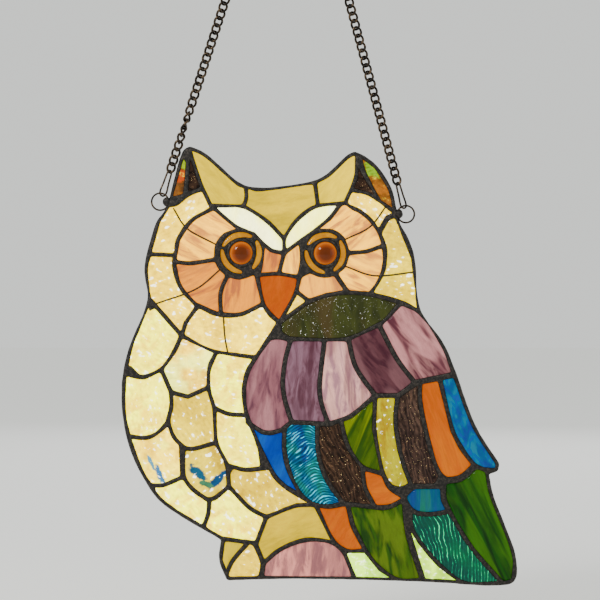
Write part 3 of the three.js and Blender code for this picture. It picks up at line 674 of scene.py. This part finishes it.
# Panes: a point inside each opening, its relief, and the glass. Colours are in 0 to 255, and a
# mark is a centre, a lean, two half sizes and a colour.
CREAM = [(244, 227, 166), (242, 221, 150), (238, 212, 136)]
WARM = [(242, 225, 138), (238, 217, 120), (234, 208, 108)]
PALE_CREAM = [(245, 238, 184), (242, 224, 158), (238, 228, 172)]
MUSTARD = [(226, 203, 106), (218, 194, 94), (234, 214, 130)]
PEACH = [(224, 160, 106), (202, 130, 86), (232, 178, 122)]
PEACH_LIGHT = [(237, 199, 148), (216, 164, 120), (241, 210, 166)]
WHITE = [(247, 238, 210), (242, 230, 198), (250, 245, 226)]
PLUM = [(162, 112, 116), (116, 68, 80), (188, 150, 150)]
ORANGE = [(214, 110, 18), (220, 126, 30), (202, 92, 10)]
UMBER = [(56, 36, 24), (78, 52, 34), (34, 20, 14)]
# Painted highlight colours for the relief's crests. In the skins below, the crest colour is a painted
# highlight on the crests, the hollow amount darkens the hollows as painted shade, and the specks are
# painted glints.
WHITE_HIGHLIGHT, CYAN_HIGHLIGHT = (252, 248, 232), (150, 222, 226)
CREAM_SKIN = {"crest_highlight": WHITE_HIGHLIGHT, "crest_highlight_cover": (0.5, 0.75), "crest_highlight_amount": 0.85, "crest_highlight_break": 0.4,
              "hollow_shade": 0.22, "long": 1.5, "size": 11}
DISC_FLOW = {"long": 5.0, "size": 4.5, "warp": 1.1}
PLUM_FLOW = {"long": 4.0, "size": 6, "warp": 1.2}
TEAL_SKIN = {"crest_highlight": CYAN_HIGHLIGHT, "crest_highlight_cover": (0.35, 1.0), "crest_highlight_amount": 0.8, "crest_highlight_break": 0.3,
             "hollow_shade": 0.75, "size": 9, "long": 2.2}
UMBER_SKIN = {"crest_highlight": (118, 82, 56), "crest_highlight_cover": (0.3, 1.1), "crest_highlight_amount": 0.7, "crest_highlight_break": 0.9,
              "hollow_shade": 0.75, "specks": 0.9, "speck_size": 1.15, "glint_colour": (226, 214, 196)}
PALE_SKIN = {"crest_highlight": WHITE_HIGHLIGHT, "crest_highlight_cover": (0.2, 0.6), "hollow_shade": 0.15}
MOSS_SKIN = {"crest_highlight": (236, 220, 150), "crest_highlight_amount": 0.5, "hollow_shade": 0.5, "clear": 0.35,
             "size": 5, "long": 1.3}


def cream(colours=CREAM, turn=0.0, **more):
    """Creamy, pebbled sheet for the head and breast."""
    return "granite", {"colours": colours, "turn": turn, **CREAM_SKIN, **more}


def plain_glass(colours, turn=0.0, **more):
    """Smooth sheet with broad streaks."""
    return "smooth", {"colours": colours, "turn": turn, **more}


def disc_glass(colours, turn):
    """Smooth, narrowly streaked sheet for the discs of the face."""
    return "smooth", {"colours": colours, "turn": turn, **DISC_FLOW}


def plum(colours, turn):
    """Smooth, swirled purple sheet."""
    return "smooth", {"colours": colours, "turn": turn, **PLUM_FLOW}


PANES = {
    "ear_left_front": ((-56, 276), plain_glass(MUSTARD, -0.7)),
    "ear_left_outer": ((-79, 281), ("granite", {
        "colours": [(150, 90, 20), (176, 104, 18), (84, 46, 12)], **MOSS_SKIN, "marks": [
            ((-75.6, 292), 0.2, 5.0, 3.5, (170, 190, 56)),
            ((-78.4, 283.5), 0.2, 5.0, 4.0, (204, 90, 20))]})),
    "ear_left_inner": ((-70, 278), ("granite", {"colours": UMBER, **UMBER_SKIN})),
    "crown": ((-8, 265), plain_glass([(222, 197, 92), (212, 186, 78), (232, 209, 114)], 1.4)),
    "ear_right_front": ((31, 278), plain_glass(MUSTARD, 0.6)),
    "ear_right_inner": ((47.5, 277), ("granite", {"colours": UMBER, **UMBER_SKIN})),
    "ear_right_outer": ((61, 276), ("granite", {
        "colours": [(176, 110, 26), (196, 124, 40), (104, 58, 14)], **MOSS_SKIN, "marks": [
            ((55.5, 287.5), -0.6, 7.5, 5.0, (160, 190, 60))]})),
    "ring_left": ((-80, 250), cream(turn=-0.5)),
    "side_left": ((-92, 215), cream(turn=0.3)),
    "ring_right": ((54, 261), cream(turn=0.6)),
    "side_right": ((73, 220), cream(WARM, 0.2)),
    "chin": ((-47, 172), cream(turn=0.1)),
    "disc_left_top": ((-66, 240), disc_glass(PEACH_LIGHT, -1.1)),
    "disc_left_side": ((-66, 210), disc_glass(PEACH, 1.1)),
    "disc_left_low": ((-40, 198), disc_glass(PEACH, 0.1)),
    "disc_right_top": ((48, 245), disc_glass(PEACH_LIGHT, 0.9)),
    "disc_right_side": ((52, 218), disc_glass(PEACH_LIGHT, -1.2)),
    "disc_right_low": ((20, 206), disc_glass([(226, 178, 130), (208, 152, 108), (236, 196, 150)], -0.1)),
    "bridge_left": ((-14, 222), disc_glass(PEACH, 0.2)),
    "bridge_right": ((-1, 220), disc_glass(PEACH_LIGHT, -0.1)),
    "brow_left": ((-25, 249), plain_glass(WHITE)),
    "brow_right": ((12, 253), plain_glass(WHITE)),
    "beak": ((-10, 203), plain_glass([(206, 96, 20), (216, 114, 30), (190, 86, 10)], 0.3)),
    "cheek": ((2.5, 196), cream()),
    "wing_cap": ((30, 184), plain_glass([(66, 68, 24), (48, 50, 20), (88, 66, 34)], size=8,
                                        specks=0.8, speck_size=0.9)),
    "purple_1": ((-20, 135), plum(PLUM, 0.15)),
    "purple_2": ((6, 140), plum([(108, 66, 78), (150, 116, 128), (78, 36, 48)], 0.05)),
    "purple_3": ((30, 140), plum([(180, 146, 150), (208, 182, 176), (144, 90, 92)], -0.1)),
    "purple_4": ((55, 155), plum([(100, 56, 62), (70, 32, 42), (146, 102, 104)], -0.7)),
    "purple_5": ((88, 160), plum([(160, 114, 112), (96, 46, 56), (204, 170, 168)], -0.6)),
    "blue_1": ((-14, 90), plain_glass([(4, 94, 184), (14, 124, 196), (4, 62, 156)], 0.4)),
    "teal_1": ((6, 85), ("chevron", {
        "colours": [(8, 124, 160), (26, 168, 140), (8, 66, 158)], "turn": -0.35, **TEAL_SKIN})),
    "brown_1": ((28, 85), ("groove", {"colours": UMBER, "turn": -0.45, **UMBER_SKIN})),
    "green_1": ((50, 100), plain_glass([(78, 100, 4), (44, 72, 2), (152, 160, 24)], 0.4, long=7, size=4.5)),
    "yellow_1": ((66, 100), ("wavelet", {
        "colours": [(206, 196, 48), (186, 150, 36), (216, 206, 72)], "turn": -0.15, "crest_highlight": WHITE_HIGHLIGHT,
        "crest_highlight_cover": (0.42, 0.62), "crest_highlight_amount": 0.75, "hollow_shade": 0.2, "size": 3.5, "long": 3.5})),
    "brown_2": ((81, 105), ("groove", {
        "colours": [(72, 50, 40), (94, 68, 54), (44, 28, 24)], "turn": -0.22, **UMBER_SKIN})),
    "orange_1": ((98, 110), plain_glass(ORANGE, -0.35, long=6)),
    "blue_2": ((118, 110), plain_glass([(6, 100, 170), (20, 140, 160), (4, 60, 140)], -0.4,
                                       warp=2.5, size=6)),
    "orange_2": ((60, 64), plain_glass(ORANGE, 1.3)),
    "teal_small": ((92, 57), plain_glass([(8, 92, 150), (36, 130, 84), (6, 66, 136)],
                                         size=6, long=8, warp=0.2)),
    "orange_3": ((31, 40), plain_glass(ORANGE, 0.5)),
    "green_2": ((60, 35), plain_glass([(50, 86, 2), (26, 56, 2), (122, 138, 10)], -0.2,
                                      long=5, size=5, warp=1.6)),
    "teal_2": ((105, 30), ("lines", {
        "colours": [(6, 94, 74), (16, 118, 74), (4, 66, 66)], "turn": -0.75, "crest_highlight": (170, 222, 190),
        "crest_highlight_cover": (0.2, 0.9), "crest_highlight_amount": 0.75, "crest_highlight_break": 0.5, "hollow_shade": 0.35})),
    "green_3": ((125, 55), plain_glass([(20, 72, 2), (10, 44, 2), (78, 126, 8)], -0.42, long=7, size=5)),
    "pale_1": ((50, 10), ("granite", {
        "colours": [(200, 220, 148), (216, 228, 178), (182, 204, 128)], **PALE_SKIN})),
    "pale_2": ((95, 10), ("granite", {
        "colours": [(204, 222, 150), (220, 230, 182), (188, 206, 130)], **PALE_SKIN})),
    "breast_a": ((-100, 165), cream(PALE_CREAM, 0.5)),
    "breast_d": ((-104, 120), cream(PALE_CREAM, 1.3)),
    "breast_b": ((-72, 150), cream([(242, 222, 168), (236, 208, 142), (230, 232, 200)])),
    "breast_e": ((-70, 112), cream(WARM, 0.9)),
    "breast_c": ((-45, 140), cream(PALE_CREAM, 0.2)),
    "breast_f": ((-44, 98), cream(PALE_CREAM, 0.4)),
    "breast_g": ((-95, 85), cream([(242, 226, 174), (240, 216, 146), (232, 232, 190)], 0.5, marks=[
        ((-99.5, 83.5), -0.45, 6.5, 1.6, (140, 176, 190)),
        ((-93, 74.5), -0.4, 8.5, 2.1, (104, 152, 186))])),
    "breast_h": ((-62, 80), cream([(234, 214, 120), (226, 198, 92), (238, 222, 144)], -0.7, marks=[
        ((-66.5, 76.0), -0.8, 9.0, 3.6, (24, 108, 140)),
        ((-52.5, 71), 0.8, 10.5, 3.0, (12, 92, 140)),
        ((-61, 68), -1.2, 6.5, 2.2, (90, 146, 110))])),
    "breast_i": ((-25, 62), cream([(240, 217, 112), (235, 206, 96), (241, 223, 134)], 1.0)),
    "breast_j": ((-78, 55), cream(PALE_CREAM, 0.8)),
    "breast_k": ((-42, 45), cream(PALE_CREAM, 0.7)),
    "foot_yellow": ((-46, 20), plain_glass([(212, 189, 88), (200, 175, 76), (224, 202, 106)], 0.2)),
    "foot_orange": ((-34, 12), cream([(240, 216, 118), (236, 205, 102), (242, 223, 138)], 0.4)),
    "arch_yellow": ((-5, 38), plain_glass([(218, 193, 88), (208, 181, 76), (228, 204, 106)], 1.2)),
    "base_purple": ((10, 15), plum([(184, 134, 130), (212, 170, 162), (146, 96, 100)], 0.1)),
}


# Relief of the glass, about -1 to 1, at a place across (u) and along (v) the grain of a sheet

def nearest_row(place, pitch):
    """The row that a place lies in, and how far it is from that row's middle."""
    row = math.floor(place / pitch)
    return row, place - (row + 0.5) * pitch


def smooth_skin(u, v):
    """Long, low waves of rolled sheet."""
    return 0.6 * noise.noise((u / 9, v / 14, 0.3)) + 0.3 * noise.noise((u / 3, v / 5, 1.3))


def granite_skin(u, v):
    """Small pebbled bumps."""
    return 1.4 * noise.noise((u / 3.6, v / 1.6, 2.3)) + 0.45 * noise.noise((u / 1.6, v / 1.1, 4.4))


def chevron_skin(u, v):
    """Strokes that rise to a bend right of the middle, each with a thin crest."""
    bend = u - 44 - 5 * noise.noise((0.2, v / 12, 1.1))
    along = v + 0.65 * math.sqrt(bend * bend + 3) + 0.3 * bend + 1.8 * noise.noise((u / 8, v / 8, 0.7))
    along += 0.35 * noise.noise((u / 2.2, v / 2.2, 5.2))
    row, off = nearest_row(along, 2.1)
    stroke = 0.7 + 1.1 * noise.noise((u / 4.5, row * 1.37, 3.3))
    return 1.7 * stroke * math.exp(-(off / 0.48) ** 2) - 0.65 + 0.25 * noise.noise((u / 2, v / 2, 3.3))


def groove_skin(u, v):
    """Long ridges like bark, close together."""
    across = u + 3.0 * noise.noise((u / 6, v / 13, 0.4)) + 1.0 * noise.noise((u / 2.4, v / 5, 4.4))
    row, off = nearest_row(across, 2.7)
    ridge = 0.7 + 1.2 * noise.noise((row * 1.7, v / 5, 7.1))
    return 1.6 * ridge * math.exp(-(off / 0.55) ** 2) - 0.6 + 0.5 * noise.noise((u / 1.2, v / 2.0, 8.3))


def line_skin(u, v):
    """Thin raised lines that bow a little along their length."""
    across = u + 2.2 * noise.noise((u / 9, v / 12, 0.9)) + 0.7 * noise.noise((u / 3, v / 4, 6.6))
    across += 0.006 * v * v
    row, off = nearest_row(across, 3.1)
    line = 0.85 + 0.7 * noise.noise((row * 1.9, v / 6, 2.7))
    return 1.6 * line * math.exp(-(off / 0.36) ** 2) - 0.5 + 0.3 * noise.noise((u / 1.7, v / 1.7, 1.9))


def wavelet_skin(u, v):
    """Low ripples across the sheet, broken into small bumps."""
    ripple = math.sin(2 * math.pi * (v + 1.6 * noise.noise((u / 5, v / 5, 2.2))) / 4.2)
    return 0.2 * ripple + 1.1 * noise.noise((u / 1.9, v / 2.8, 3.9))


# For each skin, how close its points lie, its depth in millimetres and its shape
SKINS = {
    "smooth": (2.2, 0.10, smooth_skin),
    "granite": (0.9, 0.11, granite_skin),
    "chevron": (0.42, 0.26, chevron_skin),
    "groove": (0.45, 0.24, groove_skin),
    "lines": (0.42, 0.24, line_skin),
    "wavelet": (0.8, 0.18, wavelet_skin),
}


def pane(name, loop, skin, look, number):
    """One sheet of glass: both faces in relief, joined round the edge."""
    gap, depth, shape = SKINS[skin]
    outward = -sideways(loop) if area(loop) > 0 else sideways(loop)
    rim = loop + outward * LAP
    lo, hi = rim.min(0), rim.max(0)
    rows = np.arange(lo[1], hi[1], gap * 0.866)
    inner = np.array([(x + (gap / 2 if r % 2 else 0), z) for r, z in enumerate(rows)
                      for x in np.arange(lo[0], hi[0], gap)])
    inner = inner[crossings(inner, [rim])]
    tree = kdtree.KDTree(len(rim))
    for i, p in enumerate(rim):
        tree.insert((p[0], p[1], 0), i)
    tree.balance()
    inner = [p for p in inner if tree.find((p[0], p[1], 0))[2] > 0.55 * min(gap, 1.2)]
    verts, source, tris = triangles(list(rim) + inner, [rim])
    c, s = math.cos(look.get("turn", 0.0)), math.sin(look.get("turn", 0.0))
    n, edge = len(verts), len(rim)
    rise = [shape(c * x - s * z, s * x + c * z) for x, z in verts]
    front = [(p[0], -FACE - depth * rise[i], p[1]) for i, p in enumerate(verts)]
    back = [(p[0], FACE + 0.5 * depth * rise[i], p[1]) for i, p in enumerate(verts)]
    at = {k: i for i, k in enumerate(source)}
    faces = [tuple(int(v) for v in t) for t in tris] + [tuple(int(v) + n for v in t[::-1]) for t in tris]
    way = 1 if area(rim) > 0 else -1
    for i in range(edge):
        a, b = at[i], at[(i + 1) % edge]
        faces.append((b, a, a + n, b + n)[::way])
    glass = sheet_glass("glass_" + name, seed=3.17 * number, **look)
    made = piece("glass_" + name, front + back, faces, glass)
    made.data.attributes.new("relief", "FLOAT", "POINT").data.foreach_set("value", rise + rise)
    return made


# Build

panel_edge, *openings = frame_outlines()
loops = [hand_drawn(panel_edge, 0.22, True)] + [hand_drawn(snipped(one), 0.16, False) for one in openings]


def node_at(x, z):
    """The frame's pane whose front face covers a point of the panel."""
    for name, obj in root.items():
        mesh = obj.data
        if name.startswith(("leading", "ring_", "chain_", "hanging", "eye_", "iris_")):
            continue
        for poly in mesh.polygons:
            if poly.normal.y > -0.9:
                continue
            corners = [mesh.vertices[i].co for i in poly.vertices]
            flat = [Vector((v.x / MM, v.z / MM + DROP)) for v in corners]
            if geometry.intersect_point_tri_2d(Vector((x, z)), *flat):
                return name
    return None


for number, (name, ((x, z), (skin, look))) in enumerate(PANES.items()):
    opening = next(loop for loop in loops[1:] if crossings(np.array([[x, z]], float), [loop])[0])
    node = node_at(x, z)
    made = pane(name, opening, skin, look, number)
    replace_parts(made, node)


ROW_DEPTHS = (0.42, 0.95, 1.5, 2.2, 3.0, 4.0, 5.2, 6.6)  # rows of points, so far from the rims
FILM_STEPS = 260
BEAD_TOP, BEAD_GROWTH = 1.25, 0.85  # a bead's greatest rise, and how soon a wide bead nears it
EDGE_ROUND = ((-0.7, 0.34), (0.0, 0.45), (0.7, 0.34))  # y and swell of the rows round the rim


def leading():
    """The solder network: beads that swell with their width and pool where seams meet."""
    rim_tree = kdtree.KDTree(sum(len(loop) for loop in loops))
    count = 0
    for loop in loops:
        for p in loop:
            rim_tree.insert((p[0], p[1], 0), count)
            count += 1
    rim_tree.balance()
    points = [tuple(p) for loop in loops for p in loop]
    taken = {}
    for depth in ROW_DEPTHS:
        for k, loop in enumerate(loops):
            inward = sideways(loop) * (1 if area(loop) > 0 else -1) * (1 if k == 0 else -1)
            for p in loop + inward * depth:
                if rim_tree.find((p[0], p[1], 0))[2] < 0.93 * depth:
                    continue
                cell = (int(p[0] // 0.5), int(p[1] // 0.5))
                near = [q for i in (-1, 0, 1) for j in (-1, 0, 1)
                        for q in taken.get((cell[0] + i, cell[1] + j), ())]
                if any((q[0] - p[0]) ** 2 + (q[1] - p[1]) ** 2 < 0.16 for q in near):
                    continue
                taken.setdefault(cell, []).append((p[0], p[1]))
                points.append((p[0], p[1]))
    verts, source, tris = triangles(points, loops)
    n = len(verts)
    fixed = np.array([0 <= s < count for s in source])
    # A soap film pushed up from below has the shape that molten solder takes between its rims
    corner = verts[tris]
    share, film = np.zeros(n), np.zeros(n)
    ends, weights = [], []
    side_a, side_b = corner[:, 1] - corner[:, 0], corner[:, 2] - corner[:, 0]
    double = np.abs(side_a[:, 0] * side_b[:, 1] - side_a[:, 1] * side_b[:, 0])
    for k in range(3):
        a, b = corner[:, (k + 1) % 3] - corner[:, k], corner[:, (k + 2) % 3] - corner[:, k]
        cot = np.clip((a * b).sum(1) / np.maximum(double, 1e-9), 0.02, 20) / 2
        ends.append(np.stack([tris[:, (k + 1) % 3], tris[:, (k + 2) % 3]], 1))
        weights.append(cot)
        np.add.at(share, tris[:, k], double / 6)
    ends, weights = np.concatenate(ends), np.concatenate(weights)
    total = np.bincount(ends[:, 0], weights, n) + np.bincount(ends[:, 1], weights, n)
    for _ in range(FILM_STEPS):
        pull = (np.bincount(ends[:, 0], weights * film[ends[:, 1]], n)
                + np.bincount(ends[:, 1], weights * film[ends[:, 0]], n))
        film = np.where(fixed, 0.0, (pull + 2 * share) / np.maximum(total, 1e-9))
    rise = BEAD_TOP * np.tanh(BEAD_GROWTH * np.sqrt(np.maximum(film, 0)) / BEAD_TOP)
    lumps = np.array([noise.noise((x / 3.3, z / 3.3, 1.0)) + 0.6 * noise.noise((x / 1.4, z / 1.4, 5.0))
                      for x, z in verts])
    rise = rise * (1 + 0.10 * lumps)
    base = FACE - LEAD_SINK
    foot = np.where(fixed, 0.0, LEAD_SINK * 0.5)
    front = [(p[0], -(base + rise[i] + foot[i]), p[1]) for i, p in enumerate(verts)]
    back = [(p[0], base + 0.92 * rise[i] + foot[i], p[1]) for i, p in enumerate(verts)]
    vertices = front + back
    faces = [tuple(int(v) for v in t) for t in tris] + [tuple(int(v) + n for v in t[::-1]) for t in tris]
    at = {s: i for i, s in enumerate(source) if s >= 0}
    start = 0
    for k, loop in enumerate(loops):
        size = len(loop)
        way = 1 if area(loop) > 0 else -1
        outward = sideways(loop) * -way
        rows = [[at[start + i] for i in range(size)]]
        if k == 0:
            for y, swell in EDGE_ROUND:
                rows.append(list(range(len(vertices), len(vertices) + size)))
                vertices += [(p[0] + o[0] * swell, y, p[1] + o[1] * swell) for p, o in zip(loop, outward)]
        rows.append([v + n for v in rows[0]])
        turn = way * (1 if k == 0 else -1)
        for upper, lower in zip(rows, rows[1:]):
            for i in range(size):
                j = (i + 1) % size
                faces.append((upper[j], upper[i], lower[i], lower[j])[::turn])
        start += size
    made = piece("solder_network", vertices, faces, SOLDER)
    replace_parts(made, "leading")


leading()


def eye(side, centre):
    """A domed gem, its amber ring under the solder, and the raised collar that holds the gem."""
    dome = [(0, GEM_BACK), (5.5, GEM_BACK), (7.4, 1.9), (8.1, 1.0), (GEM_RADIUS, 0.0),
            (GEM_RADIUS, GEM_GIRDLE)]
    dome += [(GEM_RADIUS * math.cos(a), GEM_GIRDLE + (GEM_FRONT - GEM_GIRDLE) * math.sin(a))
             for a in np.linspace(0.12, math.pi / 2, 14)][:-1]
    dome += [(0, GEM_FRONT)]
    gem = lathe(f"cabochon_{side}", centre, dome, cabochon_glass(f"amber_cabochon_{side}", centre))
    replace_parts(gem, f"eye_{side}")
    amber = sheet_glass(f"amber_iris_{side}", [(210, 150, 34), (220, 166, 48), (194, 124, 18)],
                        size=5, long=1, clear=0.2, rough=0.08, seed=5.0)
    flat_ring = [(IRIS_INNER, FACE), (IRIS_OUTER, FACE), (IRIS_OUTER, -FACE), (IRIS_INNER, -FACE)]
    iris = lathe(f"amber_ring_{side}", centre, flat_ring, amber)
    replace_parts(iris, f"iris_{side}")
    collar = [(10.8, -1.1), (10.8, -1.5), (10.5, -2.3), (9.9, -2.9), (9.1, -3.15), (8.3, -3.05),
              (7.9, -2.6), (7.9, -1.1)]
    lathe(f"eye_collar_{side}", centre, collar, SOLDER)


for side, centre in GEMS.items():
    eye(side, centre)

# Whiskers: wires soldered over the glass from bead to bead
WHISKERS = [
    [(-83.7, 260.9), (-74.6, 247.2), (-53.6, 235.3)],
    [(-51.1, 217.8), (-66.9, 204.9), (-96.5, 193.8)],
    [(-48.7, 186.6), (-47.6, 170.9), (-45.5, 159.2)],
    [(65.1, 262.3), (54, 248), (36.5, 239)],
    [(37, 220.1), (56, 213.8), (86, 216.3)],
]
WHISKER_RADIUS, WHISKER_LIFT, WHISKER_STEP_UP = 0.6, 1.62, 0.55


def whisker(number, points):
    """A wire that lies on the glass, steps up onto the bead at each end and thins there."""
    flat = spline(points, False, 1.2)
    path = []
    for i, p in enumerate(flat):
        u = i / (len(flat) - 1)
        path.append((p[0], -WHISKER_LIFT - WHISKER_STEP_UP * max(0.0, 1 - min(u, 1 - u) / 0.10), p[1]))
    made = wire(f"whisker_{number}", path, lambda u: WHISKER_RADIUS - 0.1 * abs(2 * u - 1) ** 6, SOLDER, 10)


for number, points in enumerate(WHISKERS, 1):
    whisker(number, points)


# Rings, clips and chain

def round_ring(name, centre, radius, thick):
    """A ring of round wire in the panel's plane."""
    path = [(centre[0] + radius * math.cos(a), 0, centre[1] + radius * math.sin(a))
            for a in np.linspace(0, 2 * math.pi, 48, endpoint=False)]
    made = wire(name, path, 0.6 * thick, BRONZE, 12, True)
    return made


def smoothstep(x, low, high):
    """How far x has gone from low to high, with an easy start and end."""
    t = min(max((x - low) / (high - low), 0.0), 1.0)
    return t * t * (3 - 2 * t)


def link_path(steps=28):
    """One curb link: a long ring twisted a quarter turn from end to end."""
    length, width = LINK["length"] - LINK["wire"], LINK["width"] - LINK["wire"]
    path = []
    for i in range(steps):
        a = 2 * math.pi * i / steps
        s, c = math.sin(a), math.cos(a)
        along = length / 2 * math.copysign(abs(s) ** 0.86, s)
        across = width / 2 * math.copysign(abs(c) ** 0.86, c)
        twist = math.pi / 4 * along / (length / 2)
        path.append(Vector((across * math.cos(twist), across * math.sin(twist), along)))
    return path


def strand(side):
    """A wire clip and the curb links above it, from a side ring to the top ring."""
    spec = RINGS[side]
    start = Vector((spec["centre"][0], 0, spec["centre"][1]))
    end = Vector((HANG_RING["centre"][0], 0, HANG_RING["centre"][1]))
    length, along = (end - start).length, (end - start).normalized()
    lean = Vector((0, 0, 1)).rotation_difference(along)

    def set_in(points, distance, turn):
        roll = Quaternion((0, 0, 1), turn)
        return [tuple(start + along * distance + lean @ (roll @ Vector(p))) for p in points]

    foot = SIDE_RING - WIRE - 0.6
    head = foot + CLIP["length"] - WIRE
    tall = CLIP["length"] - WIRE
    f, h = CLIP["foot"], CLIP["head"]
    half = [(0, 0), (f * 0.75, f * 0.3), (f, f), ((f + h) / 2, tall / 2), (h, tall - h),
            (h * 0.72, tall - h * 0.28), (0, tall)]
    loop = half + [(-x, z) for x, z in half[-2:0:-1]]
    path = [(p[0], 0, p[1]) for p in spline(loop, True, 0.8)]
    clip = wire(f"clip_wire_{side}", set_in(path, foot, math.pi / 4), CLIP_RADIUS, BRONZE, 10, True)
    middle = (LINK["length"] - LINK["wire"]) / 2
    first = head - CLIP_RADIUS - LINK_RADIUS - 0.04 + middle
    last = length - HANG_RING["radius"] + (HANG_RING["wire"] + LINK["wire"]) / 2 + 0.3 - middle
    steps = math.floor((last - first) / LINK["pitch"])
    verts, faces = [], []
    for i in range(steps + 1):
        at = first + (last - first) * i / steps
        turn = math.pi / 4 * smoothstep(at, last - TURN_RUN, last)
        if spec["twist"]:
            turn -= math.pi * smoothstep(at, spec["twist"] - TWIST_RUN / 2, spec["twist"] + TWIST_RUN / 2)
        link_verts, link_faces = tube_parts(set_in(link_path(), at, turn), LINK_RADIUS, 8, True)
        faces += [tuple(k + len(verts) for k in face) for face in link_faces]
        verts += link_verts
    chain = piece(f"chain_links_{side}", verts, faces, BRONZE)
    for obj in (clip, chain):
        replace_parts(obj, f"chain_{side}")


def solder_blob(name, centre):
    """The drop of solder that holds a ring to the panel's edge."""
    verts, faces = [], []
    rows, steps = 12, 20

    def lump(n):
        r = 1 + 0.10 * noise.noise(n * 1.7 + Vector((centre[0], 0, 0)))
        verts.append((centre[0] + BLOB["across"] * n.x * r, BLOB["deep"] * n.y * r,
                      centre[1] + BLOB["tall"] * n.z * r))

    for i in range(1, rows):
        a = math.pi * i / rows
        for k in range(steps):
            b = 2 * math.pi * k / steps
            lump(Vector((math.sin(a) * math.cos(b), math.cos(a), math.sin(a) * math.sin(b))))
    lump(Vector((0, 1, 0)))
    lump(Vector((0, -1, 0)))
    back, front = len(verts) - 2, len(verts) - 1
    for k in range(steps):
        j = (k + 1) % steps
        faces.append((back, j, k))
        faces.append((front, (rows - 2) * steps + k, (rows - 2) * steps + j))
        for i in range(rows - 2):
            faces.append((i * steps + k, i * steps + j, (i + 1) * steps + j, (i + 1) * steps + k))
    piece(name, verts, faces, SOLDER)


for side, spec in RINGS.items():
    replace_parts(round_ring(f"edge_ring_{side}", spec["centre"], SIDE_RING, WIRE), f"ring_{side}")
    solder_blob(f"ring_solder_{side}", spec["solder"])
    strand(side)
top_ring = round_ring("top_ring", HANG_RING["centre"], HANG_RING["radius"], HANG_RING["wire"])
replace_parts(top_ring, "hanging_ring")


# Floor, light and camera

FLOOR_AT, FLOOR_REACH = -0.62, 8.0  # in metres, a little under the panel
pale, _, pale_shader = start_material("pale_floor")
pale_shader.inputs["Base Color"].default_value = srgb(251, 251, 249)
pale_shader.inputs["Roughness"].default_value = 0.9
floor_mesh = bpy.data.meshes.new("floor")
floor_corners = [(x * FLOOR_REACH, y * FLOOR_REACH, FLOOR_AT)
                 for x, y in ((-1, -1), (1, -1), (1, 1), (-1, 1))]
floor_mesh.from_pydata(floor_corners, [], [(0, 1, 2, 3)])
floor_mesh.materials.append(pale)
floor = bpy.data.objects.new("floor", floor_mesh)
bpy.context.scene.collection.objects.link(floor)

world = bpy.data.worlds.new("studio")
bpy.context.scene.world = world
world.use_nodes = True
world.node_tree.nodes["Background"].inputs["Color"].default_value = (0.93, 0.95, 0.92, 1)
world.node_tree.nodes["Background"].inputs["Strength"].default_value = 1.0


def soft_light(name, place, aim, size, power):
    """A square lamp in metres and watts, turned to what it lights."""
    light = bpy.data.lights.new(name, "AREA")
    light.shape, light.size, light.energy = "SQUARE", size, power
    obj = bpy.data.objects.new(name, light)
    obj.location = place
    obj.rotation_euler = (Vector(aim) - Vector(place)).to_track_quat("-Z", "Y").to_euler()
    bpy.context.scene.collection.objects.link(obj)


MIDDLE = (0.0, 0.0, -0.40)
soft_light("key", (-1.1, -1.5, 0.7), MIDDLE, 0.5, 32)
soft_light("fill", (1.3, -1.2, -0.1), MIDDLE, 1.0, 4)
soft_light("window", (0.2, 1.8, 0.5), MIDDLE, 1.6, 8)

camera_data = bpy.data.cameras.new("camera")
camera = bpy.data.objects.new("camera", camera_data)
bpy.context.scene.collection.objects.link(camera)
camera_data.sensor_width = SENSOR
camera_data.lens = SENSOR * DISTANCE / VIEW_WIDTH
camera.location = (VIEW_MIDDLE[0] * MM, -DISTANCE * MM, (VIEW_MIDDLE[1] - DROP) * MM)
camera.rotation_euler = (math.radians(90), 0, 0)
bpy.context.scene.camera = camera
